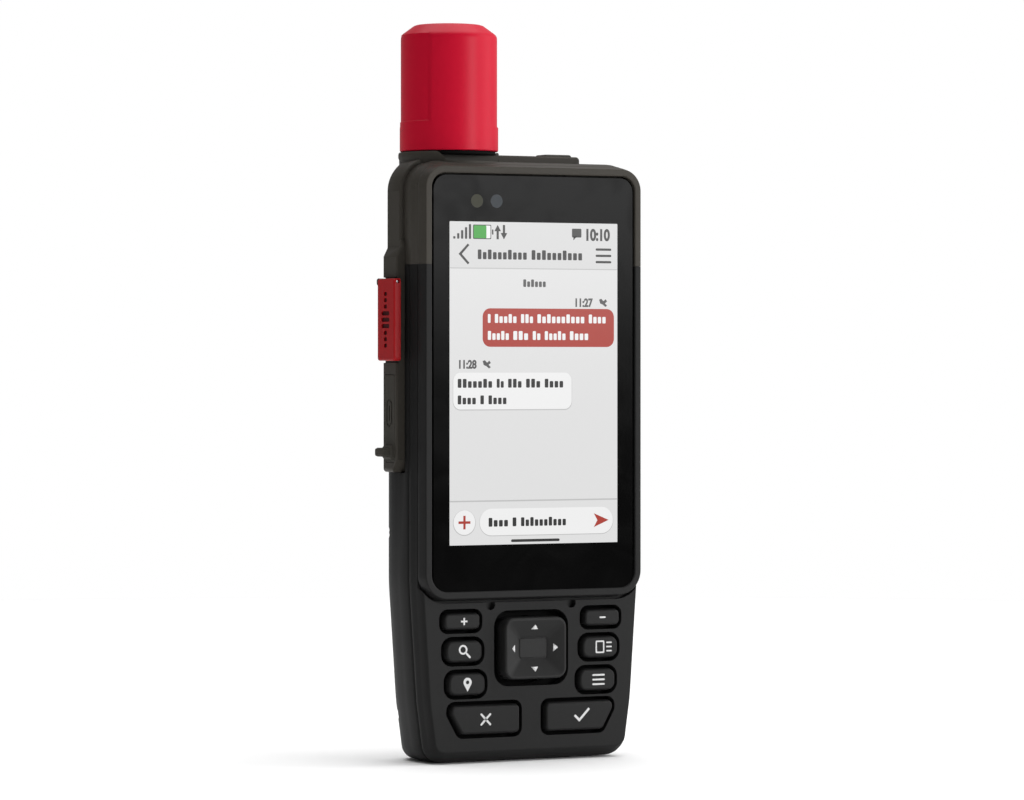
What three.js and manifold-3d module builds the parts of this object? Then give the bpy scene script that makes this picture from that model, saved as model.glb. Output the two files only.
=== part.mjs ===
// Hand-held satellite emergency beacon with a colour screen, a nine-key keypad, a stubby antenna
// and a covered distress key on its left side.
// Units are millimetres. X runs to the right seen from the front, Y runs from front to back and
// Z runs up. The origin is the middle of the flat base. Depths are first measured from the display
// plane, and one group moves the whole device so that the origin lies under its middle.

import * as THREE from 'three';
import { mergeVertices } from 'three/addons/utils/BufferGeometryUtils.js';
import Module from 'manifold-3d';

const wasm = await Module();
wasm.setup();

// ---- driving dimensions ----
const DISPLAY_TO_ORIGIN = 13;
const CLEARANCE = 0.3;
const FAR = 60;

const BODY = {
  halfWidth: 30.3, top: 142.1, topRadius: 8, hipZ: 42, kneeZ: 14, kneeHalfWidth: 28.4,
  footHalfWidth: 26.4, footRadius: 5.5, blendRadius: 70, height: 142.1,
};
const DEPTH = { lip: -0.9, keypadPanel: 0.85, shellJoint: 6, backFlat: 25, bulge: 27.3, spine: 31.5 };
const TWO_TONE_Z = 117.5;
const WALL = 2.4;
const SIDE_WALL = 5.2;

const GLASS = { halfWidth: 27.25, bottom: 40.24, top: 138.7, radius: 3.6, front: -0.6, back: 0.6 };
const BEZEL = { halfWidth: 31, bottom: 38.3, radius: 7 };
const DISPLAY = { halfWidth: 24.4, bottom: 48.6, top: 130.4, front: 0.9, back: 3.6 };

const PLINTH = { x: -15.2, depth: 14, radius: 12, top: 143.6 };
const ANTENNA = { radius: 11.8, bandRadius: 12, bandTop: 150.4, bottom: 144.6, top: 174.8, wall: 1.8 };
const PLATFORM = { left: -4, right: 18.2, front: 10.2, back: 18, top: 143.9 };
const POWER_KEY = {
  left: 9.8, right: 17, front: 11.7, back: 16.5, top: 144.45, bottom: 136, flange: 0.8, flangeBottom: 135.6,
};

const RAIL = {
  outer: -32.7, inner: -29.2, front: 7, back: 14.9, baseBack: 16.5, base: -30.9, bottom: 68.5, shoulder: 121.3,
};
const RAIL_UPPER = { proud: 0.9, front: 8.7, back: 15.4 };
const SOS = { bottom: 94.8, top: 114.2, outer: -33.7, inner: -32.2, front: 6.2, back: 14.7 };
const SOS_PIN = { x: -32.95, z: 113.45, radius: 0.4, hole: 0.46, front: 6.8, back: 15.8 };
const SOS_BUTTON = { at: [11.2, 104.5], radius: 3, face: -31, back: -29.85, stem: 1.3, stemEnd: -28.6, well: 3.6 };
const USB = { bottom: 70.9, top: 91.5, front: 8.6, back: 14.2, inner: -31.4, centreZ: 82 };

const KEY = { top: 0, flangeFront: 3.1, flangeBack: 3.7, flange: 0.9, wellFront: 1, wellBack: 0.5 };
const SMALL_KEYS = [
  { left: 'key_plus', right: 'key_minus', inner: 14.2, outer: 23.9, bottom: 31.5, top: 35.4, radius: 1.3 },
  { left: 'key_find', right: 'key_page', inner: 13.6, outer: 23.4, bottom: 23.8, top: 28.9, radius: 2 },
  { left: 'key_mark', right: 'key_menu', inner: 12.8, outer: 22.7, bottom: 16, top: 21.2, radius: 2 },
];
const WIDE_KEY = { inner: 3.5, outer: 22, shortOuter: 19.2, bottom: 6.7, shoulder: 11.6, top: 13.6, radius: 1.2 };
const DPAD = { z: 26.1, half: 7.85, radius: 2.6, front: -1.6, back: 3.4, dishHalf: 3.7, dishHigh: 2.4, dish: 1.6 };
const CASE_SCREWS = [[-25, 11], [25, 11], [-27.4, 54], [27.4, 54], [-26, 135.6], [26, 135.6]];
const MICROPHONE = { x: 11, z: 37 };
const SPEAKER = { z: 28.1, slotHalfWidth: 7, slotHalfHeight: 0.7, pitch: 3.6 };
const LANYARD = { halfWidth: 8, bottom: 5, top: 14.5, front: 20.5, barZ: 9.75, barDepth: 22.6, barRadius: 1 };
const FLASHLIGHT = { z: 127, radius: 3 };
const SPINE_SCREWS = [['spine_screw_upper', 101], ['spine_screw_lower', 71]];

// ---- materials ----
const finish = (color, roughness, metalness = 0) => new THREE.MeshStandardMaterial({ color, roughness, metalness });
const MATERIAL = {
  charcoal: finish(0x2a2a2a, 0.6),
  warmGrey: finish(0x3c3a36, 0.6),
  keys: finish(0x2e2e2e, 0.55),
  rubber: finish(0x35332f, 0.85),
  seal: finish(0x161616, 0.9),
  red: finish(0xad142a, 0.35),
  coverRed: finish(0x96262c, 0.4),
  glass: finish(0x0a0a0a, 0.08),
  lens: finish(0x55554f, 0.2),
  display: finish(0xe4e4e4, 0.4),
  board: finish(0x1f5a36, 0.5),
  battery: finish(0x8d8f92, 0.45),
  steel: finish(0xb5b7ba, 0.3, 1),
  copper: finish(0xb87333, 0.3, 1),
  ceramic: finish(0xe9e4d6, 0.6),
};

// ---- solids ----
function solid(geometry) {
  const clean = geometry.clone();
  clean.deleteAttribute('normal');
  clean.deleteAttribute('uv');
  const merged = mergeVertices(clean, 1e-4);
  const vertProperties = new Float32Array(merged.attributes.position.array);
  const triVerts = new Uint32Array(merged.index.array);
  return new wasm.Manifold(new wasm.Mesh({ numProp: 3, vertProperties, triVerts }));
}

const join = (first, ...others) => others.reduce((whole, other) => whole.add(other), first);
const cut = (first, ...others) => others.reduce((whole, other) => whole.subtract(other), first);

function surface(body) {
  const mesh = body.getMesh();
  const geometry = new THREE.BufferGeometry();
  geometry.setAttribute('position', new THREE.BufferAttribute(mesh.vertProperties, 3));
  geometry.setIndex(new THREE.BufferAttribute(mesh.triVerts, 1));
  geometry.computeVertexNormals();
  return geometry;
}

// A closed outline with rounded corners, from [x, z, radius] taken anticlockwise.
function roundedShape(corners) {
  const shape = new THREE.Shape();
  corners.forEach(([x, z, radius], index) => {
    const corner = new THREE.Vector2(x, z);
    const before = corners.at(index - 1);
    const after = corners[(index + 1) % corners.length];
    const toBefore = new THREE.Vector2(before[0], before[1]).sub(corner).normalize();
    const toAfter = new THREE.Vector2(after[0], after[1]).sub(corner).normalize();
    const halfAngle = Math.acos(toBefore.dot(toAfter)) / 2;
    const reach = radius / Math.tan(halfAngle);
    const start = corner.clone().addScaledVector(toBefore, reach);
    const end = corner.clone().addScaledVector(toAfter, reach);
    if (index === 0) shape.moveTo(start.x, start.y);
    else shape.lineTo(start.x, start.y);
    shape.quadraticCurveTo(x, z, end.x, end.y);
  });
  shape.closePath();
  return shape;
}

function roundedRectangle(left, right, bottom, top, radius) {
  return roundedShape([
    [right, bottom, radius], [right, top, radius], [left, top, radius], [left, bottom, radius],
  ]);
}

// The device's outline seen from the front, drawn in by the given amount.
function bodyShape(inset = 0) {
  const rightSide = [
    [BODY.footHalfWidth - inset, inset, BODY.footRadius - inset / 2],
    [BODY.kneeHalfWidth - inset, BODY.kneeZ, BODY.blendRadius],
    [BODY.halfWidth - inset, BODY.hipZ, BODY.blendRadius],
    [BODY.halfWidth - inset, BODY.top - inset, BODY.topRadius - inset / 2],
  ];
  const leftSide = rightSide.map(([x, z, radius]) => [-x, z, radius]).reverse();
  return roundedShape([...rightSide, ...leftSide]);
}

// Extrudes a front-view outline from a front depth to a back depth.
function slab(shape, front, back, bevel = 0, curveSegments = 3) {
  const geometry = new THREE.ExtrudeGeometry(shape, {
    depth: back - front - 2 * bevel,
    bevelEnabled: bevel > 0,
    bevelSize: bevel,
    bevelOffset: -bevel,
    bevelThickness: bevel,
    bevelSegments: 1,
    curveSegments,
  });
  geometry.translate(0, 0, bevel - back);
  geometry.rotateX(Math.PI / 2);
  return solid(geometry);
}

// Extrudes a side-view outline, drawn in depth and height, from one X to another.
function sideSlab(shape, from, to, bevel = 0, curveSegments = 3) {
  const geometry = new THREE.ExtrudeGeometry(shape, {
    depth: to - from - 2 * bevel,
    bevelEnabled: bevel > 0,
    bevelSize: bevel,
    bevelOffset: -bevel,
    bevelThickness: bevel,
    bevelSegments: 1,
    curveSegments,
  });
  geometry.translate(0, 0, from + bevel);
  const depthHeightX = new THREE.Matrix4().makeBasis(
    new THREE.Vector3(0, 1, 0), new THREE.Vector3(0, 0, 1), new THREE.Vector3(1, 0, 0),
  );
  geometry.applyMatrix4(depthHeightX);
  return solid(geometry);
}

// Skins the body outline through stations of [depth, side inset, bottom inset, top inset].
function loft(shape, stations) {
  const last = stations.length - 1;
  const geometry = new THREE.ExtrudeGeometry(shape, {
    depth: 1, steps: last, bevelEnabled: false, curveSegments: 4,
  });
  const position = geometry.attributes.position;
  for (let i = 0; i < position.count; i += 1) {
    const [depth, side, bottom, top] = stations[last - Math.round(position.getZ(i) * last)];
    const x = position.getX(i) * (1 - side / BODY.halfWidth);
    const z = bottom + position.getY(i) * (1 - (bottom + top) / BODY.height);
    position.setXYZ(i, x, depth, z);
  }
  return solid(geometry);
}

function block(x0, x1, y0, y1, z0, z1) {
  const geometry = new THREE.BoxGeometry(x1 - x0, y1 - y0, z1 - z0);
  geometry.translate((x0 + x1) / 2, (y0 + y1) / 2, (z0 + z1) / 2);
  return solid(geometry);
}

// A cylinder along X, Y or Z, from one coordinate to another on that axis.
function rod(axis, radius, from, to, [a, b], segments = 12) {
  const geometry = new THREE.CylinderGeometry(radius, radius, to - from, segments);
  const middle = (from + to) / 2;
  if (axis === 'x') geometry.rotateZ(Math.PI / 2).translate(middle, a, b);
  if (axis === 'y') geometry.translate(a, middle, b);
  if (axis === 'z') geometry.rotateX(Math.PI / 2).translate(a, b, middle);
  return solid(geometry);
}

// A solid turned about a vertical axis, from a closed profile of [radius, height].
function turned(profile, x, depth, segments = 28) {
  const points = profile.map(([radius, height]) => new THREE.Vector2(radius, height));
  const geometry = new THREE.LatheGeometry(points, segments);
  geometry.rotateX(Math.PI / 2);
  geometry.translate(x, depth, 0);
  return solid(geometry);
}

const below = (z) => block(-FAR, FAR, -FAR, FAR, -FAR, z);
const above = (z) => block(-FAR, FAR, -FAR, FAR, z, 4 * FAR);

// ---- assembly ----
const device = new THREE.Group();
device.position.y = -DISPLAY_TO_ORIGIN;

function add(name, body, material) {
  const mesh = new THREE.Mesh(surface(body), material);
  mesh.name = name;
  device.add(mesh);
}

// ---- the case ----
function outerBody() {
  const front = [[DEPTH.lip, 1.1, 0, 1.3], [2, 0.45, 0, 0.4], [5, 0, 0, 0], [8, 0, 0, 0]];
  const back = [0, 0.34, 0.67, 1].map((share) => {
    const angle = (share * Math.PI) / 2;
    const draw = 1 - Math.cos(angle);
    // The foot stays flat under most of the depth, so that the case stands on it.
    return [15 + 10 * Math.sin(angle), 8 * draw, 2.6 * Math.max(0, draw - 0.15), 7 * draw];
  });
  const bulge = slab(roundedRectangle(-21, 21, 40, 112, 8), 24, DEPTH.bulge, 1.2);
  return join(loft(bodyShape(), [...front, ...back]), bulge);
}

function cavity() {
  const shape = bodyShape(SIDE_WALL);
  const deep = slab(shape, 2.95, 21.2);
  const bulge = slab(roundedRectangle(-18.4, 18.4, 42.6, 109.4, 6), 20, DEPTH.bulge - WALL);
  return join(deep, bulge);
}

function keypadStep() {
  const region = block(-FAR, FAR, -FAR, DEPTH.keypadPanel, -FAR, 60);
  const bezel = roundedRectangle(-BEZEL.halfWidth, BEZEL.halfWidth, BEZEL.bottom, 80, BEZEL.radius);
  return cut(region, slab(bezel, -FAR, FAR));
}

function glassPocket() {
  const { halfWidth, bottom, top, radius } = GLASS;
  const grown = roundedRectangle(
    -halfWidth - CLEARANCE, halfWidth + CLEARANCE, bottom - CLEARANCE, top + CLEARANCE, radius,
  );
  const opening = roundedRectangle(-24.9, 24.9, 46, 132, 1.5);
  return join(slab(grown, -FAR, 1.5), slab(opening, 1, 4));
}

function smallKeyShape(key, grow) {
  return roundedRectangle(
    key.inner - grow, key.outer + grow, key.bottom - grow, key.top + grow, key.radius + grow / 2,
  );
}

// The lower outer corner of a wide key is cut back at a slant.
function wideKeyShape(grow) {
  const { inner, outer, shortOuter, bottom, shoulder, top, radius } = WIDE_KEY;
  const round = radius + grow / 2;
  return roundedShape([
    [inner - grow, bottom - grow, round], [shortOuter + grow / 2, bottom - grow, round],
    [outer + grow, shoulder - grow / 2, round], [outer + grow, top + grow, round],
    [inner - grow, top + grow, round],
  ]);
}

function keyRow() {
  const small = SMALL_KEYS.map((key) => ({ ...key, shape: (grow) => smallKeyShape(key, grow) }));
  return [...small, { left: 'key_quit', right: 'key_enter', shape: wideKeyShape }];
}

const bothSides = (body) => join(body, body.mirror([1, 0, 0]));

function keyWells() {
  const wells = keyRow().map(({ shape }) => join(
    slab(shape(KEY.wellFront), -FAR, 2.3, 0, 2),
    slab(shape(KEY.wellBack), 2, 4, 0, 2),
    slab(shape(KEY.flange + CLEARANCE), 2.95, 5, 0, 2),
  ));
  const dpadWell = slab(roundedRectangle(-9.4, 9.4, DPAD.z - 9.2, DPAD.z + 9.2, 4), -FAR, 4);
  const ports = rod('y', 1.15, -FAR, 2, [MICROPHONE.x, MICROPHONE.z]);
  const vents = rod('y', 0.5, 1, 4, [MICROPHONE.x, MICROPHONE.z], 12);
  return join(dpadWell, ...wells.map(bothSides), bothSides(join(ports, vents)));
}

function screwHoles() {
  return join(...CASE_SCREWS.map(([x, z]) => join(
    rod('y', 1.15, 2.4, FAR, [x, z]),
    rod('y', 2.25, 17.2, FAR, [x, z]),
  )));
}

// The strip let into the left side, from under the connector up to the antenna plinth.
function railRecess() {
  const strip = cut(block(-FAR, -10, RAIL_UPPER.front - CLEARANCE, RAIL_UPPER.back + CLEARANCE, 110, 4 * FAR),
    slab(bodyShape(1.4), -FAR, FAR));
  const lower = block(-FAR, RAIL.inner + CLEARANCE, RAIL.front - CLEARANCE, RAIL.baseBack + CLEARANCE,
    RAIL.bottom - CLEARANCE, RAIL.shoulder + CLEARANCE);
  const upper = cut(strip, rod('z', PLINTH.radius - 1, 0, 4 * FAR, [PLINTH.x, PLINTH.depth], 28));
  return join(lower, upper);
}

function caseBlank() {
  return cut(outerBody(), cavity(), keypadStep(), glassPocket(), keyWells(), screwHoles(), railRecess());
}

function addCase() {
  const blank = caseBlank();
  const lower = cut(blank, above(TWO_TONE_Z - CLEARANCE / 2));
  const behind = block(-FAR, FAR, DEPTH.shellJoint, FAR, -FAR, 4 * FAR);
  add('front_housing', cut(lower, behind, gasketRing(0.15)), MATERIAL.charcoal);

  const ahead = block(-FAR, FAR, -FAR, DEPTH.shellJoint + CLEARANCE, -FAR, 4 * FAR);
  const lanyardFloor = slab(roundedRectangle(-12.5, 12.5, 3, 16.5, 4), 17.6, 22.2);
  const rear = join(cut(lower, ahead), lanyardFloor);
  add('rear_shell', cut(rear, gasketRing(0.15), rearOpenings()), MATERIAL.charcoal);

  const plinth = rod('z', PLINTH.radius, 139.4, PLINTH.top, [PLINTH.x, PLINTH.depth], 28);
  const pocket = block(-20.5, 0, -FAR, 8.4, BODY.top, 4 * FAR);
  const platform = slab(roundedRectangle(PLATFORM.left, PLATFORM.right, 139, PLATFORM.top, 0.5),
    PLATFORM.front, PLATFORM.back);
  const keyHole = slab(roundedRectangle(POWER_KEY.left - CLEARANCE, POWER_KEY.right + CLEARANCE, 130, 150, 0.2),
    POWER_KEY.front - CLEARANCE, POWER_KEY.back + CLEARANCE);
  const feedHole = rod('z', 4, 130, 150, [PLINTH.x, PLINTH.depth], 16);
  const flashlightHole = rod('y', FLASHLIGHT.radius + CLEARANCE, 20, FAR, [0, FLASHLIGHT.z], 16);
  const top = join(cut(blank, below(TWO_TONE_Z + CLEARANCE / 2)), cut(plinth, pocket), platform);
  add('top_housing', cut(top, keyHole, feedHole, flashlightHole), MATERIAL.warmGrey);
}

// The sound slots, the lanyard's pocket, the holes behind the side controls and the spine rail's screws.
function rearOpenings() {
  const { slotHalfWidth, slotHalfHeight, pitch } = SPEAKER;
  const slots = [-pitch, 0, pitch].map((offset) => {
    const z = SPEAKER.z + offset;
    const shape = roundedRectangle(-slotHalfWidth, slotHalfWidth, z - slotHalfHeight, z + slotHalfHeight, 0.6);
    return slab(shape, 20, FAR);
  });
  const { halfWidth, bottom, top, front, barZ, barDepth, barRadius } = LANYARD;
  const pocket = slab(roundedRectangle(-halfWidth, halfWidth, bottom, top, 3), front, FAR);
  const barHole = rod('x', barRadius + 0.25, -halfWidth - 2.5, halfWidth + 2.5, [barDepth, barZ]);
  const [buttonDepth, buttonZ] = SOS_BUTTON.at;
  const switchHole = block(-FAR, -20, buttonDepth - 1.8, buttonDepth + 2.6, buttonZ - 2.3, buttonZ + 2.7);
  const receptacleHole = block(-FAR, -20, 10, 14.2, USB.centreZ - 5, USB.centreZ + 5);
  const spineHoles = SPINE_SCREWS.map(([, z]) => rod('y', 0.95, 25.2, FAR, [0, z], 12));
  return join(pocket, barHole, switchHole, receptacleHole, ...slots, ...spineHoles);
}

// The seal between the two lower shells: an open ring that stops under the screen's top seam.
function gasketRing(grow = 0) {
  const ring = cut(slab(bodyShape(4.25 - grow), 5.4 - grow, 6.9 + grow),
    slab(bodyShape(4.85 + grow), -FAR, FAR));
  return cut(ring, above(116.2 + grow));
}

function addRail() {
  const outer = slab(bodyShape(-RAIL_UPPER.proud), RAIL_UPPER.front, RAIL_UPPER.back);
  const hollow = slab(bodyShape(1.1), -FAR, FAR);
  const plinthRoom = rod('z', PLINTH.radius + CLEARANCE, 0, 4 * FAR, [PLINTH.x, PLINTH.depth], 28);
  const upper = cut(outer, hollow, plinthRoom, below(RAIL.shoulder - 1), block(-14, FAR, -FAR, FAR, 0, 200));
  const profile = (back) => roundedShape([
    [back, RAIL.bottom, 1.5], [back, RAIL.shoulder, 1], [RAIL.front, RAIL.shoulder, 1.6],
    [RAIL.front, RAIL.bottom, 3],
  ]);
  const base = sideSlab(profile(RAIL.baseBack), RAIL.base, RAIL.inner);
  const lower = join(base, sideSlab(profile(RAIL.back), RAIL.outer, RAIL.base + 0.6, 0.5));
  const slope = slab(roundedShape([
    [-31.1, 121.5, 0.1], [-31.1, 126, 0.1], [-40, 126, 0.1], [-40, 119.5, 0.1], [-32.9, 119.5, 0.1],
  ]), 0, 30);
  const sosBed = block(-FAR, -31.7, -FAR, 14.9, SOS.bottom - 0.5, SOS.top + 0.55);
  const sosWell = rod('x', SOS_BUTTON.well, -FAR, 0, SOS_BUTTON.at, 16);
  const wideWell = block(-FAR, -31.2, 8.2, 14.2, 98, 110.6);
  const usbBed = block(-FAR, USB.inner + CLEARANCE, USB.front - CLEARANCE, USB.back + CLEARANCE,
    USB.bottom - CLEARANCE, USB.top + CLEARANCE);
  const usbPort = block(-FAR, 0, 10.2, 14, USB.centreZ - 4.9, USB.centreZ + 4.9);
  const plugRoom = block(-FAR, -30.3, 9.6, 14.2, USB.centreZ - 6.2, USB.centreZ + 6.2);
  const pinEar = sideSlab(roundedRectangle(14.95, 16.4, 112, 114.6, 0.5), -33.5, -30.5);
  const pinHole = rod('y', SOS_PIN.hole, 0, SOS_PIN.back + CLEARANCE, [SOS_PIN.x, SOS_PIN.z]);
  const whole = join(cut(lower, slope, sosBed), upper, pinEar);
  add('side_rail', cut(whole, sosWell, wideWell, usbBed, usbPort, plugRoom, pinHole), MATERIAL.warmGrey);
}

// ---- screen ----
function addScreen() {
  const { halfWidth, bottom, top, radius, front, back } = GLASS;
  const pane = slab(roundedRectangle(-halfWidth, halfWidth, bottom, top, radius), front, back, 0.15);
  add('cover_glass', pane, MATERIAL.glass);
  const seal = cut(
    slab(roundedRectangle(-26.6, 26.6, bottom + 0.7, top - 0.7, 3), 0.8, 1.3),
    slab(roundedRectangle(-25.3, 25.3, 45.2, 132.8, 2), 0, 3),
  );
  add('display_gasket', seal, MATERIAL.seal);
  const panel = block(-DISPLAY.halfWidth, DISPLAY.halfWidth, DISPLAY.front, DISPLAY.back,
    DISPLAY.bottom, DISPLAY.top);
  add('display_module', panel, MATERIAL.display);
}

// ---- keypad ----
function addKeys() {
  keyRow().forEach(({ left, right, shape }) => {
    const cap = join(
      slab(shape(0), KEY.top, KEY.flangeFront + 0.2, 0.35, 2),
      slab(shape(KEY.flange), KEY.flangeFront, KEY.flangeBack, 0, 2),
    );
    add(right, cap, MATERIAL.keys);
    add(left, cap.mirror([1, 0, 0]), MATERIAL.keys);
  });
}

// A rounded square with four slopes that fall to a small flat pad in its middle.
function addDirectionPad() {
  const { z, half, radius, front, back, dishHalf, dishHigh, dish } = DPAD;
  const body = slab(roundedRectangle(-half, half, z - half + 0.3, z + half - 0.3, radius), front, back, 0.5);
  const dishGeometry = new THREE.CylinderGeometry(1, 1, 1, 4);
  const position = dishGeometry.attributes.position;
  const rim = half - 0.9;
  for (let i = 0; i < position.count; i += 1) {
    const corner = Math.hypot(position.getX(i), position.getZ(i)) > 0.5;
    const isPad = position.getY(i) > 0;
    const angle = Math.atan2(position.getZ(i), position.getX(i)) + Math.PI / 4;
    const across = (isPad ? dishHalf : rim) * Math.sign(Math.cos(angle));
    const up = (isPad ? dishHigh : rim - 0.3) * Math.sign(Math.sin(angle));
    const depth = isPad ? front + dish : front;
    position.setXYZ(i, corner ? across : 0, depth, z + (corner ? up : 0));
  }
  const slopes = solid(dishGeometry);
  const mouth = block(-rim, rim, front - 3, front, z - rim + 0.3, z + rim - 0.3);
  const post = rod('y', 1.2, back - 0.1, 5, [0, z]);
  add('dpad_cap', join(cut(body, slopes, mouth), post), MATERIAL.keys);
  const ring = cut(rod('y', 6.8, 4, 4.5, [0, z], 16), rod('y', 2.2, 0, 9, [0, z]));
  add('dpad_ring', ring, MATERIAL.rubber);
}

function addKeypadLayers() {
  const layer = (front, back) => cut(slab(bodyShape(SIDE_WALL + 0.4), front, back), above(36), boardScrewRoom());
  const mat = cut(layer(4.4, 5), rod('y', 8.2, 0, 9, [0, DPAD.z], 16));
  add('keypad_mat', mat, MATERIAL.rubber);
  const domes = [[0, DPAD.z], [12.75, 10.2], [17.75, 18.6], [18.5, 26.3], [19, 33.4]];
  const domeDiscs = domes.flatMap(([x, z]) => (x === 0 ? [x] : [x, -x]).map((side) => (
    rod('y', 1.7, 5.2, 5.5, [side, z], 12)
  )));
  add('key_board', join(layer(5.4, 6.4), ...domeDiscs), MATERIAL.board);
  [['microphone_left', -1], ['microphone_right', 1]].forEach(([name, side]) => {
    const x = side * MICROPHONE.x;
    add(name, block(x - 1.5, x + 1.5, 3.2, 4.2, MICROPHONE.z - 1.1, MICROPHONE.z + 0.9), MATERIAL.steel);
  });
}

function boardScrewRoom() {
  return join(...CASE_SCREWS.map(([x, z]) => rod('y', 1.9, 0, FAR, [x, z])));
}

// ---- inside ----
function addInside() {
  const board = slab(roundedRectangle(-24.8, 24.8, 39, 136, 5), 5.2, 6.2);
  const shields = [block(-20, -2, 6, 7.8, 100, 128), block(3, 20, 6, 7.8, 48, 92)];
  add('main_board', cut(join(board, ...shields), boardScrewRoom()), MATERIAL.board);
  const cells = slab(roundedRectangle(-17.8, 17.8, 43.2, 108.8, 5.5), 11, 24.4, 1);
  add('battery_pack', cells, MATERIAL.battery);
  const speaker = join(rod('y', 8, 14, 16.5, [0, 27], 16), rod('y', 5.5, 11.5, 14.1, [0, 27], 16));
  add('speaker', speaker, MATERIAL.steel);
  add('main_gasket', gasketRing(), MATERIAL.seal);
  add('power_switch', block(11.6, 15.2, 12.6, 15.6, 131.2, 134.8), MATERIAL.steel);
  const { radius, z } = FLASHLIGHT;
  const lens = join(rod('y', radius, 20.5, 25.2, [0, z], 16), rod('y', radius + 0.9, 20, 20.9, [0, z], 16));
  add('flashlight_lens', lens, MATERIAL.lens);
}

// ---- antenna ----
function addAntenna() {
  const { radius, bandRadius, bandTop, bottom, top, wall } = ANTENNA;
  const inside = radius - wall;
  const cap = [
    [0, top], [radius - 4.2, top - 0.05], [radius - 3.1, top - 0.4], [radius - 0.3, top - 2.2], [radius, top - 2.8],
    [radius, bandTop], [bandRadius, bandTop - 0.3], [bandRadius, bottom], [inside, bottom],
    [inside, top - 4], [inside - 2.4, top - wall], [0, top - wall],
  ];
  add('antenna_cap', turned(cap.reverse(), PLINTH.x, PLINTH.depth), MATERIAL.red);
  const ring = [[11.1, 143.85], [11.1, 144.4], [9.9, 144.4], [9.9, 143.85], [11.1, 143.85]];
  add('antenna_base_ring', turned(ring, PLINTH.x, PLINTH.depth), MATERIAL.seal);
  const core = join(
    rod('z', 7, 143.9, 171, [PLINTH.x, PLINTH.depth], 16),
    rod('z', 3.6, 138, 144, [PLINTH.x, PLINTH.depth], 16),
  );
  add('antenna_core', core, MATERIAL.ceramic);
  add('antenna_helix', helix(7.9, 0.45, 146.5, 169.5, 2.5), MATERIAL.copper);
}

// A wire of the given radius wound round the antenna's axis.
function helix(windingRadius, wireRadius, bottom, top, turns) {
  const points = [];
  const count = Math.round(turns * 10);
  for (let i = 0; i <= count; i += 1) {
    const angle = (i / 10) * 2 * Math.PI;
    points.push(new THREE.Vector3(
      PLINTH.x + windingRadius * Math.cos(angle),
      PLINTH.depth + windingRadius * Math.sin(angle),
      bottom + ((top - bottom) * i) / count,
    ));
  }
  const section = new THREE.Shape();
  section.absarc(0, 0, wireRadius, 0, 2 * Math.PI);
  return solid(new THREE.ExtrudeGeometry(section, {
    extrudePath: new THREE.CatmullRomCurve3(points), steps: count, curveSegments: 3, bevelEnabled: false,
  }));
}

// ---- controls on the top and the left side ----
function addPowerKey() {
  const { left, right, front, back, top, bottom, flange: wide, flangeBottom } = POWER_KEY;
  const cap = slab(roundedRectangle(left, right, bottom, top, 0.7), front, back, 0.3);
  const flange = block(left - wide, right + wide, front - wide, back + wide, flangeBottom, flangeBottom + 1);
  add('power_key', join(cap, flange), MATERIAL.keys);
}

function addDistressKey() {
  const shape = roundedRectangle(SOS.front, SOS.back, SOS.bottom, SOS.top, 0.6);
  const plate = sideSlab(shape, SOS.outer, SOS.inner, 0.35);
  const lip = sideSlab(roundedRectangle(8.8, 13.6, 98.8, 109.6, 1.5), SOS.inner - 0.2, -31.5);
  const pinHole = rod('y', SOS_PIN.hole, 0, FAR, [SOS_PIN.x, SOS_PIN.z]);
  add('sos_cover', cut(join(plate, lip), pinHole), MATERIAL.coverRed);
  const pin = rod('y', SOS_PIN.radius, SOS_PIN.front, SOS_PIN.back, [SOS_PIN.x, SOS_PIN.z]);
  add('sos_hinge_pin', pin, MATERIAL.steel);
  const { at: [depth, z], radius, face, back, stem, stemEnd } = SOS_BUTTON;
  const head = rod('x', radius, face, back, [depth, z], 16);
  const shank = rod('x', stem, back - 0.1, stemEnd, [depth, z]);
  add('sos_button', join(head, shank), MATERIAL.red);
  add('sos_switch', block(-27.5, -24.6, depth - 1.6, depth + 2.2, z - 1.9, z + 2.1), MATERIAL.steel);
}

function addUsbPort() {
  const cap = sideSlab(roundedRectangle(USB.front, USB.back, USB.bottom, USB.top, 0.7), RAIL.outer, USB.inner, 0.2);
  const plug = block(USB.inner - 0.1, -30.7, 10, 13.8, USB.centreZ - 5.6, USB.centreZ + 5.6);
  const tab = sideSlab(roundedRectangle(9.4, 13.6, 72.3, 74.2, 0.6), -35.5, RAIL.outer + 0.3, 0.2);
  add('usb_cap', join(cap, plug, tab), MATERIAL.rubber);
  const can = sideSlab(roundedRectangle(10.5, 13.7, USB.centreZ - 4.5, USB.centreZ + 4.5, 1.5), -30, -24.9);
  const mouth = sideSlab(roundedRectangle(10.8, 13.4, USB.centreZ - 4.2, USB.centreZ + 4.2, 1.2), -31, -25.5);
  const tongue = block(-29.8, -25.2, 11.8, 12.4, USB.centreZ - 3.4, USB.centreZ + 3.4);
  add('usb_receptacle', join(cut(can, mouth), tongue), MATERIAL.steel);
}

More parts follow.
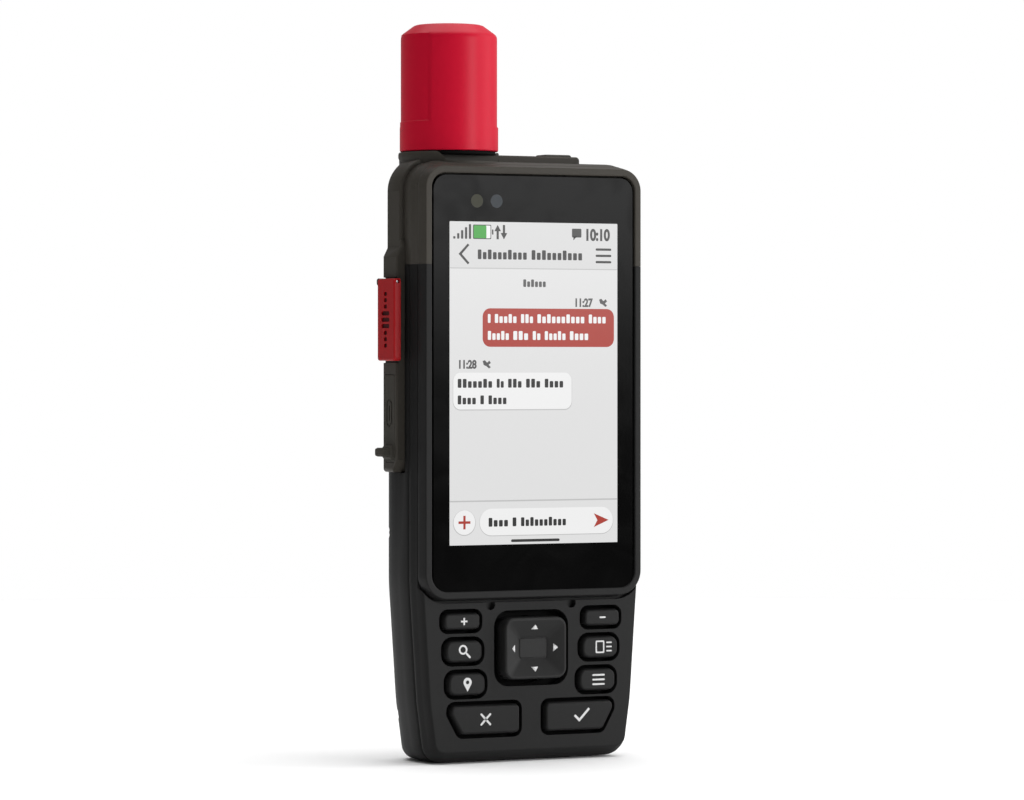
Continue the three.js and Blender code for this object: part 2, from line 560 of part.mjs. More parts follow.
// ---- the back ----
// A raised rail with undercut sides that a belt clip or a carabiner mount slides on to.
function addBack() {
  const base = slab(roundedRectangle(-11, 11, 62, 110, 3), DEPTH.bulge + CLEARANCE, 28.9, 0.3);
  const neck = slab(roundedRectangle(-7.5, 7.5, 66, 106, 2), 28.5, 30);
  const head = slab(roundedRectangle(-9.5, 9.5, 64, 108, 2.5), 29.8, DEPTH.spine, 0.3);
  const recesses = SPINE_SCREWS.map(([, z]) => join(
    rod('y', 2.3, 30, FAR, [0, z]), rod('y', 1.25, 20, FAR, [0, z], 12),
  ));
  add('spine_mount', cut(join(base, neck, head), ...recesses), MATERIAL.charcoal);
  SPINE_SCREWS.forEach(([name, z]) => {
    add(name, join(rod('y', 0.8, 25.6, 30.4, [0, z], 12), rod('y', 2, 30.3, 31.3, [0, z])), MATERIAL.steel);
  });
  CASE_SCREWS.forEach(([x, z], index) => {
    const screw = join(rod('y', 0.9, 2.8, 17.6, [x, z], 12), rod('y', 2, 17.5, 19, [x, z]));
    add(`case_screw_${index + 1}`, screw, MATERIAL.steel);
  });
  const { halfWidth, barRadius, barDepth, barZ } = LANYARD;
  const reach = halfWidth + 2.2;
  add('lanyard_bar', rod('x', barRadius, -reach, reach, [barDepth, barZ]), MATERIAL.steel);
}

addCase();
addRail();
addScreen();
addKeys();
addDirectionPad();
addKeypadLayers();
addInside();
addAntenna();
addPowerKey();
addDistressKey();
addUsbPort();
addBack();

const beacon = new THREE.Group();
beacon.add(device);

export default beacon;
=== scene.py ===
"""Looks of a hand-held satellite emergency beacon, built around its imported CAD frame.

Sizes are in millimetres until a mesh is made. X runs right seen from the front, Z runs up, and a
depth runs back from the display plane, as in the CAD part.
"""
import logging
import math
from collections.abc import Callable, Sequence
from dataclasses import dataclass, field
from enum import Enum

import bmesh
import bpy
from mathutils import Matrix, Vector


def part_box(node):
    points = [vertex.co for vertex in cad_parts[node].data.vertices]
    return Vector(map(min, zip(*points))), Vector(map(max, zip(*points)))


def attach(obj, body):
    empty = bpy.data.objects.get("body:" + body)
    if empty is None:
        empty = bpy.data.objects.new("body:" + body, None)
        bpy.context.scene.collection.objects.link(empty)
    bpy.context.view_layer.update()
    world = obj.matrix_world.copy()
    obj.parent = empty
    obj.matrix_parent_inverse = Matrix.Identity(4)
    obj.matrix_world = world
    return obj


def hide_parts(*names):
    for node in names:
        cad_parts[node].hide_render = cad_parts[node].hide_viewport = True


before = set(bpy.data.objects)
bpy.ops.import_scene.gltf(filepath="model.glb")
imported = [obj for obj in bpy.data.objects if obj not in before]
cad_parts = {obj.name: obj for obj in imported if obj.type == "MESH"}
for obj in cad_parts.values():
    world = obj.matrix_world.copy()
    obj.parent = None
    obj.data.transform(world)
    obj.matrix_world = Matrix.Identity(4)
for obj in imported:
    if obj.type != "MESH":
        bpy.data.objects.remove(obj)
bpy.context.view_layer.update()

LOG = logging.getLogger("beacon")
MM = 0.001
GLASS_FRONT_DEPTH = -0.6
DISPLAY_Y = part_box("cover_glass")[0].y / MM - GLASS_FRONT_DEPTH

Point2 = tuple[float, float]
Loop = list[Vector]


def row(x: float, depth: float, z: float) -> Vector:
    """Turn a device position in millimetres into the row frame in metres.

    Args:
        x: distance to the right.
        depth: distance behind the display plane.
        z: height over the base.

    Returns:
        The same point in metres.
    """
    return Vector((x * MM, (depth + DISPLAY_Y) * MM, z * MM))


# ---------------------------------------------------------------- colours and nodes


def linear(code: str) -> tuple[float, float, float, float]:
    """Turn an sRGB hex colour into linear light.

    Args:
        code: six hex digits.

    Returns:
        Red, green, blue and alpha.
    """
    channels = [int(code[i:i + 2], 16) / 255 for i in (0, 2, 4)]
    light = [c / 12.92 if c <= 0.04045 else ((c + 0.055) / 1.055) ** 2.4 for c in channels]
    return light[0], light[1], light[2], 1.0


def add_node(tree: bpy.types.NodeTree, kind: str, settings: dict | None = None,
             links: dict | None = None) -> bpy.types.Node:
    """Add one shader node.

    Args:
        tree: the material's node tree.
        kind: the node's type, such as "ShaderNodeTexNoise".
        settings: values for its attributes (str keys) or its input sockets (by name or index).
        links: input socket name or index to the output socket that feeds it.

    Returns:
        The new node.
    """
    node = tree.nodes.new(kind)
    for key, value in (settings or {}).items():
        if isinstance(key, str) and hasattr(node, key):
            setattr(node, key, value)
        else:
            node.inputs[key].default_value = value
    for key, output in (links or {}).items():
        tree.links.new(output, node.inputs[key])
    return node


def new_material(name: str) -> tuple[bpy.types.Material, bpy.types.NodeTree, bpy.types.NodeSocket]:
    """Start a material with no nodes but the one that gives a place on the piece.

    Args:
        name: the material's name.

    Returns:
        The material, its node tree, and the output that gives the place.
    """
    material = bpy.data.materials.new(name)
    material.use_nodes = True
    tree = material.node_tree
    tree.nodes.clear()
    return material, tree, add_node(tree, "ShaderNodeTexCoord").outputs["Object"]


def toned(colour: Sequence[float], factor: float) -> list[float]:
    """Give a linear colour made lighter or darker by a factor."""
    return [min(1.0, channel * factor) for channel in colour[:3]] + [1.0]


# ---------------------------------------------------------------- finishes


@dataclass(frozen=True)
class MouldedPolymer:
    """A moulded plastic or rubber, with the fine grain that the tool's eroded surface leaves.

    The grain breaks highlights into a soft sheen, and a slow drift in colour keeps a broad wall
    from looking flat.
    """

    name: str
    colour: str
    roughness: float = 0.5
    grain_mm: float = 0.22
    grain_depth_mm: float = 0.012
    drift: float = 0.06
    specular: float = 0.12

    def build(self) -> bpy.types.Material:
        """Build the material."""
        material, tree, place = new_material(self.name)
        grain = add_node(tree, "ShaderNodeTexNoise",
                         {"Scale": 1 / (self.grain_mm * MM), "Detail": 2.0, "Roughness": 0.6},
                         {"Vector": place})
        slow = add_node(tree, "ShaderNodeTexNoise", {"Scale": 1 / (18 * MM), "Detail": 3.0},
                        {"Vector": place})
        base = linear(self.colour)
        ends = {6: toned(base, 1 - self.drift), 7: toned(base, 1 + self.drift)}
        drifted = add_node(tree, "ShaderNodeMix", {"data_type": "RGBA", **ends}, {0: slow.outputs["Fac"]})
        rough = add_node(tree, "ShaderNodeMapRange",
                         {"To Min": self.roughness - 0.06, "To Max": self.roughness + 0.06},
                         {"Value": grain.outputs["Fac"]})
        bump = add_node(tree, "ShaderNodeBump", {"Strength": 0.5, "Distance": self.grain_depth_mm * MM},
                        {"Height": grain.outputs["Fac"]})
        shader = add_node(tree, "ShaderNodeBsdfPrincipled",
                          {"IOR": 1.5, "Specular IOR Level": self.specular},
                          {"Base Color": drifted.outputs[2], "Roughness": rough.outputs[0],
                           "Normal": bump.outputs[0]})
        add_node(tree, "ShaderNodeOutputMaterial", {}, {"Surface": shader.outputs[0]})
        return material


@dataclass(frozen=True)
class BackPrintedGlass:
    """Chemically toughened glass with black ink screened on its back.

    The eye sees a deep black under one sharp reflection, and a few faint finger smears dull it.
    """

    name: str
    colour: str
    roughness: float = 0.16
    specular: float = 0.024

    def build(self) -> bpy.types.Material:
        """Build the material."""
        material, tree, place = new_material(self.name)
        smear = add_node(tree, "ShaderNodeTexNoise",
                         {"Scale": 1 / (14 * MM), "Detail": 4.0, "Distortion": 1.2}, {"Vector": place})
        rough = add_node(tree, "ShaderNodeMapRange",
                         {"From Min": 0.45, "From Max": 0.8, "To Min": self.roughness,
                          "To Max": self.roughness + 0.08}, {"Value": smear.outputs["Fac"]})
        base = linear(self.colour)
        deep = add_node(tree, "ShaderNodeMix",
                        {"data_type": "RGBA", 6: base, 7: toned(base, 1.15)}, {0: smear.outputs["Fac"]})
        shader = add_node(tree, "ShaderNodeBsdfPrincipled",
                          {"IOR": 1.52, "Specular IOR Level": self.specular},
                          {"Base Color": deep.outputs[2], "Roughness": rough.outputs[0]})
        add_node(tree, "ShaderNodeOutputMaterial", {}, {"Surface": shader.outputs[0]})
        return material


@dataclass(frozen=True)
class LitDisplay:
    """A patch of the lit display: dyed light from behind, under the glass.

    The glow gives a flat even colour with a grid of dots that only shows close up.
    """

    name: str
    colour: str
    glow: float = 0.95

    def build(self) -> bpy.types.Material:
        """Build the material."""
        material, tree, place = new_material(self.name)
        # the real dots are about 0.09 mm apart; the grid is twice as coarse and still hardly shows
        grid = add_node(tree, "ShaderNodeTexChecker",
                        {"Scale": 1 / (0.18 * MM), "Color1": linear("ffffff"), "Color2": linear("f4f4f4")},
                        {"Vector": place})
        tinted = add_node(tree, "ShaderNodeMix",
                          {"data_type": "RGBA", "blend_type": "MULTIPLY", 0: 1.0, 7: linear(self.colour)},
                          {6: grid.outputs[0]})
        shader = add_node(tree, "ShaderNodeBsdfPrincipled",
                          {"Base Color": linear("161616"), "Roughness": 0.2, "IOR": 1.5,
                           "Specular IOR Level": 0.1, "Emission Strength": self.glow},
                          {"Emission Color": tinted.outputs[2]})
        add_node(tree, "ShaderNodeOutputMaterial", {}, {"Surface": shader.outputs[0]})
        return material


@dataclass(frozen=True)
class TurnedMetal:
    """A machined or drawn metal part, with fine tool lines that stretch its highlights."""

    name: str
    colour: str
    roughness: float = 0.3
    line_mm: float = 0.08

    def build(self) -> bpy.types.Material:
        """Build the material."""
        material, tree, place = new_material(self.name)
        lines = add_node(tree, "ShaderNodeTexNoise", {"Scale": 1 / (self.line_mm * MM), "Detail": 1.0},
                         {"Vector": place})
        rough = add_node(tree, "ShaderNodeMapRange",
                         {"To Min": self.roughness - 0.08, "To Max": self.roughness + 0.1},
                         {"Value": lines.outputs["Fac"]})
        base = linear(self.colour)
        tone = add_node(tree, "ShaderNodeMix",
                        {"data_type": "RGBA", 6: toned(base, 0.85), 7: base}, {0: lines.outputs["Fac"]})
        shader = add_node(tree, "ShaderNodeBsdfPrincipled", {"Metallic": 1.0},
                          {"Base Color": tone.outputs[2], "Roughness": rough.outputs[0]})
        add_node(tree, "ShaderNodeOutputMaterial", {}, {"Surface": shader.outputs[0]})
        return material


class Finish(Enum):
    """The finishes of the beacon, each a material recipe."""

    CHARCOAL_CASE = MouldedPolymer("moulded_polycarbonate_charcoal", "1c1c1c", 0.5)
    WARM_CASE = MouldedPolymer("moulded_polycarbonate_warm_grey", "3c3934", 0.5)
    KEYCAP = MouldedPolymer("moulded_abs_keycap", "1a1a1a", 0.42, grain_mm=0.16, grain_depth_mm=0.006)
    DPAD = MouldedPolymer("moulded_abs_direction_pad", "242424", 0.36, grain_mm=0.16, grain_depth_mm=0.005)
    WARM_KEY = MouldedPolymer("moulded_abs_power_key", "3a3834", 0.5)
    RUBBER = MouldedPolymer("moulded_silicone_warm_grey", "3c3a35", 0.65)
    SEAL = MouldedPolymer("moulded_silicone_black", "080808", 0.8, specular=0.1)
    RADOME = MouldedPolymer("moulded_abs_red_radome", "c00a2b", 0.4, grain_mm=0.3, grain_depth_mm=0.004,
                            drift=0.02, specular=0.13)
    COVER = MouldedPolymer("moulded_abs_red_cover", "9c1016", 0.38, grain_mm=0.2, grain_depth_mm=0.005,
                           drift=0.02, specular=0.16)
    # painted shade: a dark red laid in the engraved marks stands for the shade in their recesses
    PAINTED_ENGRAVING_SHADE = MouldedPolymer("engraving_painted_shade_dark_red", "3c0508", 0.6)
    LEGEND = MouldedPolymer("screen_printed_white_ink", "cfcfcf", 0.45, grain_mm=0.1, grain_depth_mm=0.002)
    BOARD = MouldedPolymer("solder_resist_green", "0d3a20", 0.3, grain_mm=0.5)
    BATTERY = MouldedPolymer("laminated_foil_pouch", "8b8d90", 0.4, grain_mm=1.5)
    FORMER = MouldedPolymer("pressed_ceramic_former", "e4dfd0", 0.6)
    GLASS = BackPrintedGlass("toughened_glass_black_print", "020202")
    SENSOR_WARM = BackPrintedGlass("smoked_sensor_window_warm", "38382f")
    SENSOR_COOL = BackPrintedGlass("smoked_sensor_window_cool", "34383c")
    LENS = BackPrintedGlass("moulded_acrylic_lens", "9a9a92", 0.12, 0.5)
    STEEL = TurnedMetal("turned_stainless_steel", "b9bbbe")
    BLACK_STEEL = TurnedMetal("black_oxide_steel", "2c2c2e", 0.45)
    COPPER = TurnedMetal("drawn_copper_wire", "c0713a", 0.25)
    SCREEN_BODY = LitDisplay("lit_display_white", "e7e7e7")
    SCREEN_HEADER = LitDisplay("lit_display_header", "dfdfdf")
    SCREEN_LINE = LitDisplay("lit_display_rule_grey", "c6c6c6")
    SCREEN_INK = LitDisplay("lit_display_dark_ink", "2c2c2c")
    SCREEN_GREY = LitDisplay("lit_display_grey_ink", "555555")
    SCREEN_RED = LitDisplay("lit_display_red", "b03a2e")
    SCREEN_BUBBLE = LitDisplay("lit_display_bubble", "f7f7f7")
    SCREEN_GREEN = LitDisplay("lit_display_green", "36a535")


MADE: dict[Finish, bpy.types.Material] = {}


def material_of(finish: Finish) -> bpy.types.Material:
    """Give a finish's material, built the first time it is asked for."""
    if finish not in MADE:
        MADE[finish] = finish.value.build()
    return MADE[finish]


# ---------------------------------------------------------------- outlines


@dataclass(frozen=True)
class Corner:
    """One corner of an outline seen from the front, with its rounding radius."""

    x: float
    z: float
    radius: float = 0.0


def arc(cx: float, cz: float, radius: float, start: float, stop: float, steps: int) -> list[Point2]:
    """Give points on a circle's arc.

    Args:
        cx: centre across.
        cz: centre up.
        radius: the circle's radius.
        start: first angle in degrees, from the right, anticlockwise.
        stop: last angle in degrees.
        steps: number of segments.

    Returns:
        steps + 1 points.
    """
    angles = [math.radians(start + (stop - start) * i / steps) for i in range(steps + 1)]
    return [(cx + radius * math.cos(a), cz + radius * math.sin(a)) for a in angles]


def rounded(corners: Sequence[Corner], side: float = 0.0, bottom: float | None = None,
            top: float | None = None, steps: int = 7) -> list[Point2]:
    """Draw a rounded polygon, moved inwards by an inset for each kind of edge.

    Args:
        corners: the polygon's corners, anticlockwise.
        side: inset of the edges that face left or right.
        bottom: inset of the edges that face down; side where it is None.
        top: inset of the edges that face up; side where it is None.
        steps: segments in each rounded corner.

    Returns:
        The outline's points, the same number for every inset.
    """
    bottom = side if bottom is None else bottom
    top = side if top is None else top
    count = len(corners)
    lines = []
    for i, here in enumerate(corners):
        after = corners[(i + 1) % count]
        run = Vector((after.x - here.x, after.z - here.z)).normalized()
        normal = Vector((run.y, -run.x))
        inset = side if abs(normal.x) > abs(normal.y) else (bottom if normal.y < 0 else top)
        lines.append((Vector((here.x, here.z)) - normal * inset, run, inset))
    points: list[Point2] = []
    for i, corner in enumerate(corners):
        origin_a, run_a, inset_a = lines[i - 1]
        origin_b, run_b, inset_b = lines[i]
        cross = run_a.x * run_b.y - run_a.y * run_b.x
        gap = origin_b - origin_a
        meet = origin_a + run_a * ((gap.x * run_b.y - gap.y * run_b.x) / cross)
        half = math.acos(max(-1.0, min(1.0, -run_a.dot(run_b)))) / 2
        radius = max(corner.radius - (inset_a + inset_b) / 2, 0.12)
        centre = meet + (run_b - run_a).normalized() * (radius / math.sin(half))
        first = meet - run_a * (radius / math.tan(half)) - centre
        turn = math.pi - 2 * half
        for k in range(steps + 1):
            angle = turn * k / steps
            spun = Vector((first.x * math.cos(angle) - first.y * math.sin(angle),
                           first.x * math.sin(angle) + first.y * math.cos(angle)))
            points.append((centre.x + spun.x, centre.y + spun.y))
    return points


def box_corners(left: float, right: float, low: float, high: float, radius: float) -> list[Corner]:
    """Give the corners of a rounded rectangle, anticlockwise from the lower right."""
    return [Corner(right, low, radius), Corner(right, high, radius), Corner(left, high, radius),
            Corner(left, low, radius)]


def rounded_box(left: float, right: float, low: float, high: float, radius: float,
                steps: int = 7) -> list[Point2]:
    """Give a rounded rectangle's points, anticlockwise."""
    return rounded(box_corners(left, right, low, high, radius), steps=steps)


def plus_sign(reach: float, half: float) -> list[Point2]:
    """Give a plus sign round the origin, from its arms' reach and half width."""
    r, h = reach, half
    return [(-h, -r), (h, -r), (h, -h), (r, -h), (r, h), (h, h), (h, r), (-h, r), (-h, h), (-r, h), (-r, -h),
            (-h, -h)]


def moved(points: Sequence[Point2], x: float, z: float) -> list[Point2]:
    """Give points moved across and up."""
    return [(px + x, pz + z) for px, pz in points]


def circle(x: float, z: float, radius: float, steps: int = 32) -> list[Point2]:
    """Give a circle's points, anticlockwise."""
    return arc(x, z, radius, 0, 360, steps)[:-1]


def bar(x0: float, z0: float, x1: float, z1: float, width: float) -> list[Point2]:
    """Give a straight bar with round ends between two points."""
    heading = math.degrees(math.atan2(z1 - z0, x1 - x0))
    half = width / 2
    return arc(x1, z1, half, heading - 90, heading + 90, 6) + arc(x0, z0, half, heading + 90, heading + 270,
                                                                  6)


# ---------------------------------------------------------------- mesh work


def link(name: str, mesh: bpy.types.Mesh) -> bpy.types.Object:
    """Put a mesh in the scene under a name."""
    piece = bpy.data.objects.new(name, mesh)
    bpy.context.scene.collection.objects.link(piece)
    return piece


def shade(piece: bpy.types.Object, sharp_degrees: float = 32.0) -> bpy.types.Object:
    """Shade a piece smooth, with its edges sharp where its faces turn by more than an angle."""
    mesh = bmesh.new()
    mesh.from_mesh(piece.data)
    limit = math.radians(sharp_degrees)
    for edge in mesh.edges:
        edge.smooth = len(edge.link_faces) == 2 and edge.calc_face_angle(0.0) < limit
    for face in mesh.faces:
        # a face square to an axis is a true flat, so its neighbours' roundings must not bend its light
        face.smooth = max(abs(part) for part in face.normal) < 0.99999
    mesh.to_mesh(piece.data)
    mesh.free()
    return piece


def close_mesh(name: str, mesh: bmesh.types.BMesh) -> bpy.types.Object:
    """Turn a built mesh's faces outwards, put it in the scene under a name, and give the piece."""
    bmesh.ops.recalc_face_normals(mesh, faces=mesh.faces)
    data = bpy.data.meshes.new(name)
    mesh.to_mesh(data)
    mesh.free()
    return link(name, data)


def skin(name: str, loops: Sequence[Loop], closed: bool = False) -> bpy.types.Object:
    """Skin a closed solid through loops of equal length.

    Args:
        name: the piece's name.
        loops: rings of points in metres.
        closed: join the last ring to the first; otherwise both ends are capped.

    Returns:
        The new piece.
    """
    mesh = bmesh.new()
    rings = [[mesh.verts.new(point) for point in loop] for loop in loops]
    pairs = list(zip(rings, rings[1:]))
    if closed:
        pairs.append((rings[-1], rings[0]))
    count = len(rings[0])
    for a, b in pairs:
        for i in range(count):
            j = (i + 1) % count
            mesh.faces.new((a[i], a[j], b[j], b[i]))
    if not closed:
        mesh.faces.new(rings[0])
        mesh.faces.new(rings[-1])
    return close_mesh(name, mesh)


def front_loops(corners: Sequence[Corner], stations: Sequence[Sequence[float]], steps: int = 7) -> list[Loop]:
    """Give loops of a front outline.

    Args:
        corners: the outline's corners.
        stations: (depth, side inset) or (depth, side, bottom, top insets) for each loop.
        steps: segments in each rounded corner.

    Returns:
        One loop for each station.
    """
    return [[row(x, station[0], z) for x, z in rounded(corners, *station[1:], steps=steps)]
            for station in stations]


def side_loops(corners: Sequence[Corner], stations: Sequence[Sequence[float]], steps: int = 6) -> list[Loop]:
    """Give loops of a left-side outline, whose corners hold depth and height, at (x, inset) stations."""
    return [[row(station[0], depth, z) for depth, z in rounded(corners, *station[1:], steps=steps)]
            for station in stations]


def plate(name: str, outlines: Sequence[Sequence[Point2]], front: float, back: float) -> bpy.types.Object:
    """Make a plate with square edges from filled outlines.

    Args:
        name: the piece's name.
        outlines: closed outlines; one inside another is a hole.
        front: depth of the front face.
        back: depth of the back face.

    Returns:
        The new piece.
    """
    curve = bpy.data.curves.new(name, "CURVE")
    curve.dimensions = "2D"
    curve.fill_mode = "BOTH"
    for points in outlines:
        spline = curve.splines.new("POLY")
        spline.points.add(len(points) - 1)
        for target, (x, z) in zip(spline.points, points):
            target.co = (x * MM, z * MM, 0.0, 1.0)
        spline.use_cyclic_u = True
    curve.extrude = (back - front) / 2 * MM
    holder = bpy.data.objects.new(name, curve)
    data = bpy.data.meshes.new_from_object(holder)
    bpy.data.objects.remove(holder)
    bpy.data.curves.remove(curve)
    mesh = bmesh.new()
    mesh.from_mesh(data)
    bmesh.ops.remove_doubles(mesh, verts=mesh.verts, dist=1e-7)
    middle = (front + back) / 2
    for vert in mesh.verts:
        x, z, out = vert.co
        vert.co = row(x / MM, middle - out / MM, z / MM)
    bmesh.ops.dissolve_degenerate(mesh, edges=mesh.edges, dist=1e-8)
    bmesh.ops.recalc_face_normals(mesh, faces=mesh.faces)
    mesh.to_mesh(data)
    mesh.free()
    return link(name, data)


def prism(name: str, points: Sequence[Point2], front: float, back: float) -> bpy.types.Object:
    """Make a straight-sided solid from a front outline, used to cut other pieces."""
    return skin(name, [[row(x, depth, z) for x, z in points] for depth in (front, back)])


def lathe(name: str, profile: Sequence[Point2], x: float, depth: float, axis: str = "z",
          segments: int = 48) -> bpy.types.Object:
    """Turn a solid from a profile that starts and ends on its axis.

    Args:
        name: the piece's name.
        profile: (radius, distance along the axis) points; both ends have radius 0.
        x: for axis "z" the centre's x; for "y" its x; for "x" its depth.
        depth: for axis "z" the centre's depth; for "y" and "x" its height.
        axis: "x", "y" (front to back) or "z".
        segments: number of segments round.

    Returns:
        The new piece.
    """
    def spot(radius: float, along: float, angle: float) -> Vector:
        """Give the point at a radius, a distance along the axis and an angle round it."""
        a, b = radius * math.cos(angle), radius * math.sin(angle)
        if axis == "z":
            return row(x + a, depth + b, along)
        if axis == "y":
            return row(x + a, along, depth + b)
        return row(along, x + a, depth + b)

    mesh = bmesh.new()
    start = mesh.verts.new(spot(0, profile[0][1], 0))
    stop = mesh.verts.new(spot(0, profile[-1][1], 0))
    turns = [2 * math.pi * i / segments for i in range(segments)]
    rings = [[mesh.verts.new(spot(r, h, t)) for t in turns] for r, h in profile[1:-1]]
    for i in range(segments):
        j = (i + 1) % segments
        mesh.faces.new((start, rings[0][i], rings[0][j]))
        mesh.faces.new((stop, rings[-1][j], rings[-1][i]))
        for a, b in zip(rings, rings[1:]):
            mesh.faces.new((a[i], a[j], b[j], b[i]))
    return close_mesh(name, mesh)


def block(name: str, x0: float, x1: float, d0: float, d1: float, z0: float, z1: float) -> bpy.types.Object:
    """Make a plain box, which cuts another piece or joins two."""
    return skin(name, front_loops(box_corners(x0, x1, z0, z1, 0.12), [(d0, 0.0), (d1, 0.0)], steps=1))


class Join(Enum):
    """How a tool solid changes a piece."""

    CUT = "DIFFERENCE"
    ADD = "UNION"


def keep_modified(piece: bpy.types.Object) -> None:
    """Give a piece the mesh that its modifiers make, and remove them."""
    graph = bpy.context.evaluated_depsgraph_get()
    made = bpy.data.meshes.new_from_object(piece.evaluated_get(graph))
    piece.modifiers.clear()
    old, piece.data = piece.data, made
    bpy.data.meshes.remove(old)


def combine(piece: bpy.types.Object, join: Join, *tools: bpy.types.Object) -> bpy.types.Object:
    """Cut tool solids from a piece or add them to it, and remove the tools."""
    for tool in tools:
        modifier = piece.modifiers.new("combine", "BOOLEAN")
        modifier.operation = join.value
        modifier.object = tool
        modifier.solver = "EXACT"
        keep_modified(piece)
        bpy.data.meshes.remove(tool.data)
    return piece


def soften(piece: bpy.types.Object, width_mm: float, degrees: float = 38.0,
           segments: int = 2) -> bpy.types.Object:
    """Round a piece's sharp edges by a small bevel.

    Args:
        piece: the piece.
        width_mm: how wide the rounding is.
        degrees: only edges sharper than this are rounded.
        segments: faces across the rounding.

    Returns:
        The piece.
    """
    modifier = piece.modifiers.new("soften", "BEVEL")
    modifier.limit_method = "ANGLE"
    modifier.angle_limit = math.radians(degrees)
    modifier.width = width_mm * MM
    modifier.segments = segments
    modifier.use_clamp_overlap = True
    keep_modified(piece)
    return piece


def keep_side(piece: bpy.types.Object, height: float, upper: bool) -> bpy.types.Object:
    """Cut a closed piece level at a height and keep one side, with the cut filled."""
    mesh = bmesh.new()
    mesh.from_mesh(piece.data)
    sign = 1 if upper else -1
    bmesh.ops.bisect_plane(mesh, geom=[*mesh.verts, *mesh.edges, *mesh.faces], dist=1e-7,
                           plane_co=(0, 0, height * MM), plane_no=(0, 0, -sign), clear_outer=True)
    open_edges = [edge for edge in mesh.edges if len(edge.link_faces) == 1]
    bmesh.ops.triangle_fill(mesh, use_beauty=True, edges=open_edges)
    bmesh.ops.recalc_face_normals(mesh, faces=mesh.faces)
    mesh.to_mesh(piece.data)
    mesh.free()
    return piece


def dress(piece: bpy.types.Object, finish: Finish, body: str, slot: str, *nodes: str,
          sharp_degrees: float = 32.0) -> bpy.types.Object:
    """Finish a piece and hang it on its body.

    Args:
        piece: the piece.
        finish: its finish.
        body: the CAD body it rides on.
        slot: the record's material slot; not used.
        nodes: the CAD nodes it stands for.
        sharp_degrees: edges that turn more than this stay sharp.

    Returns:
        The piece.
    """
    shade(piece, sharp_degrees)
    piece.data.materials.clear()
    piece.data.materials.append(material_of(finish))
    for polygon in piece.data.polygons:
        polygon.material_index = 0
    if nodes:
        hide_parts(*nodes)
    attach(piece, body)
    LOG.info("%s: %d faces on %s", piece.name, len(piece.data.polygons), body)
    return piece


# ---------------------------------------------------------------- the case


@dataclass
class CaseShape:
    """Sizes that the case pieces share."""

    half_width: float = 30.3
    top: float = 142.1
    top_radius: float = 7.2
    hip_z: float = 42.0
    knee_z: float = 14.0
    knee_half_width: float = 28.4
    foot_half_width: float = 26.4
    foot_radius: float = 4.6
    two_tone_z: float = 117.5
    seam: float = 0.04
    wall: float = 5.2
    plinth_x: float = -15.2
    plinth_depth: float = 14.0
    screws: tuple[Point2, ...] = ((-25, 11), (25, 11), (-27.4, 54), (27.4, 54), (-26, 135.6), (26, 135.6))

    def corners(self) -> list[Corner]:
        """Give the outline of the case seen from the front."""
        right = [Corner(self.foot_half_width, 0, self.foot_radius),
                 Corner(self.knee_half_width, self.knee_z, 60),
                 Corner(self.half_width, self.hip_z, 70), Corner(self.half_width, self.top, self.top_radius)]
        return right + [Corner(-c.x, c.z, c.radius) for c in reversed(right)]


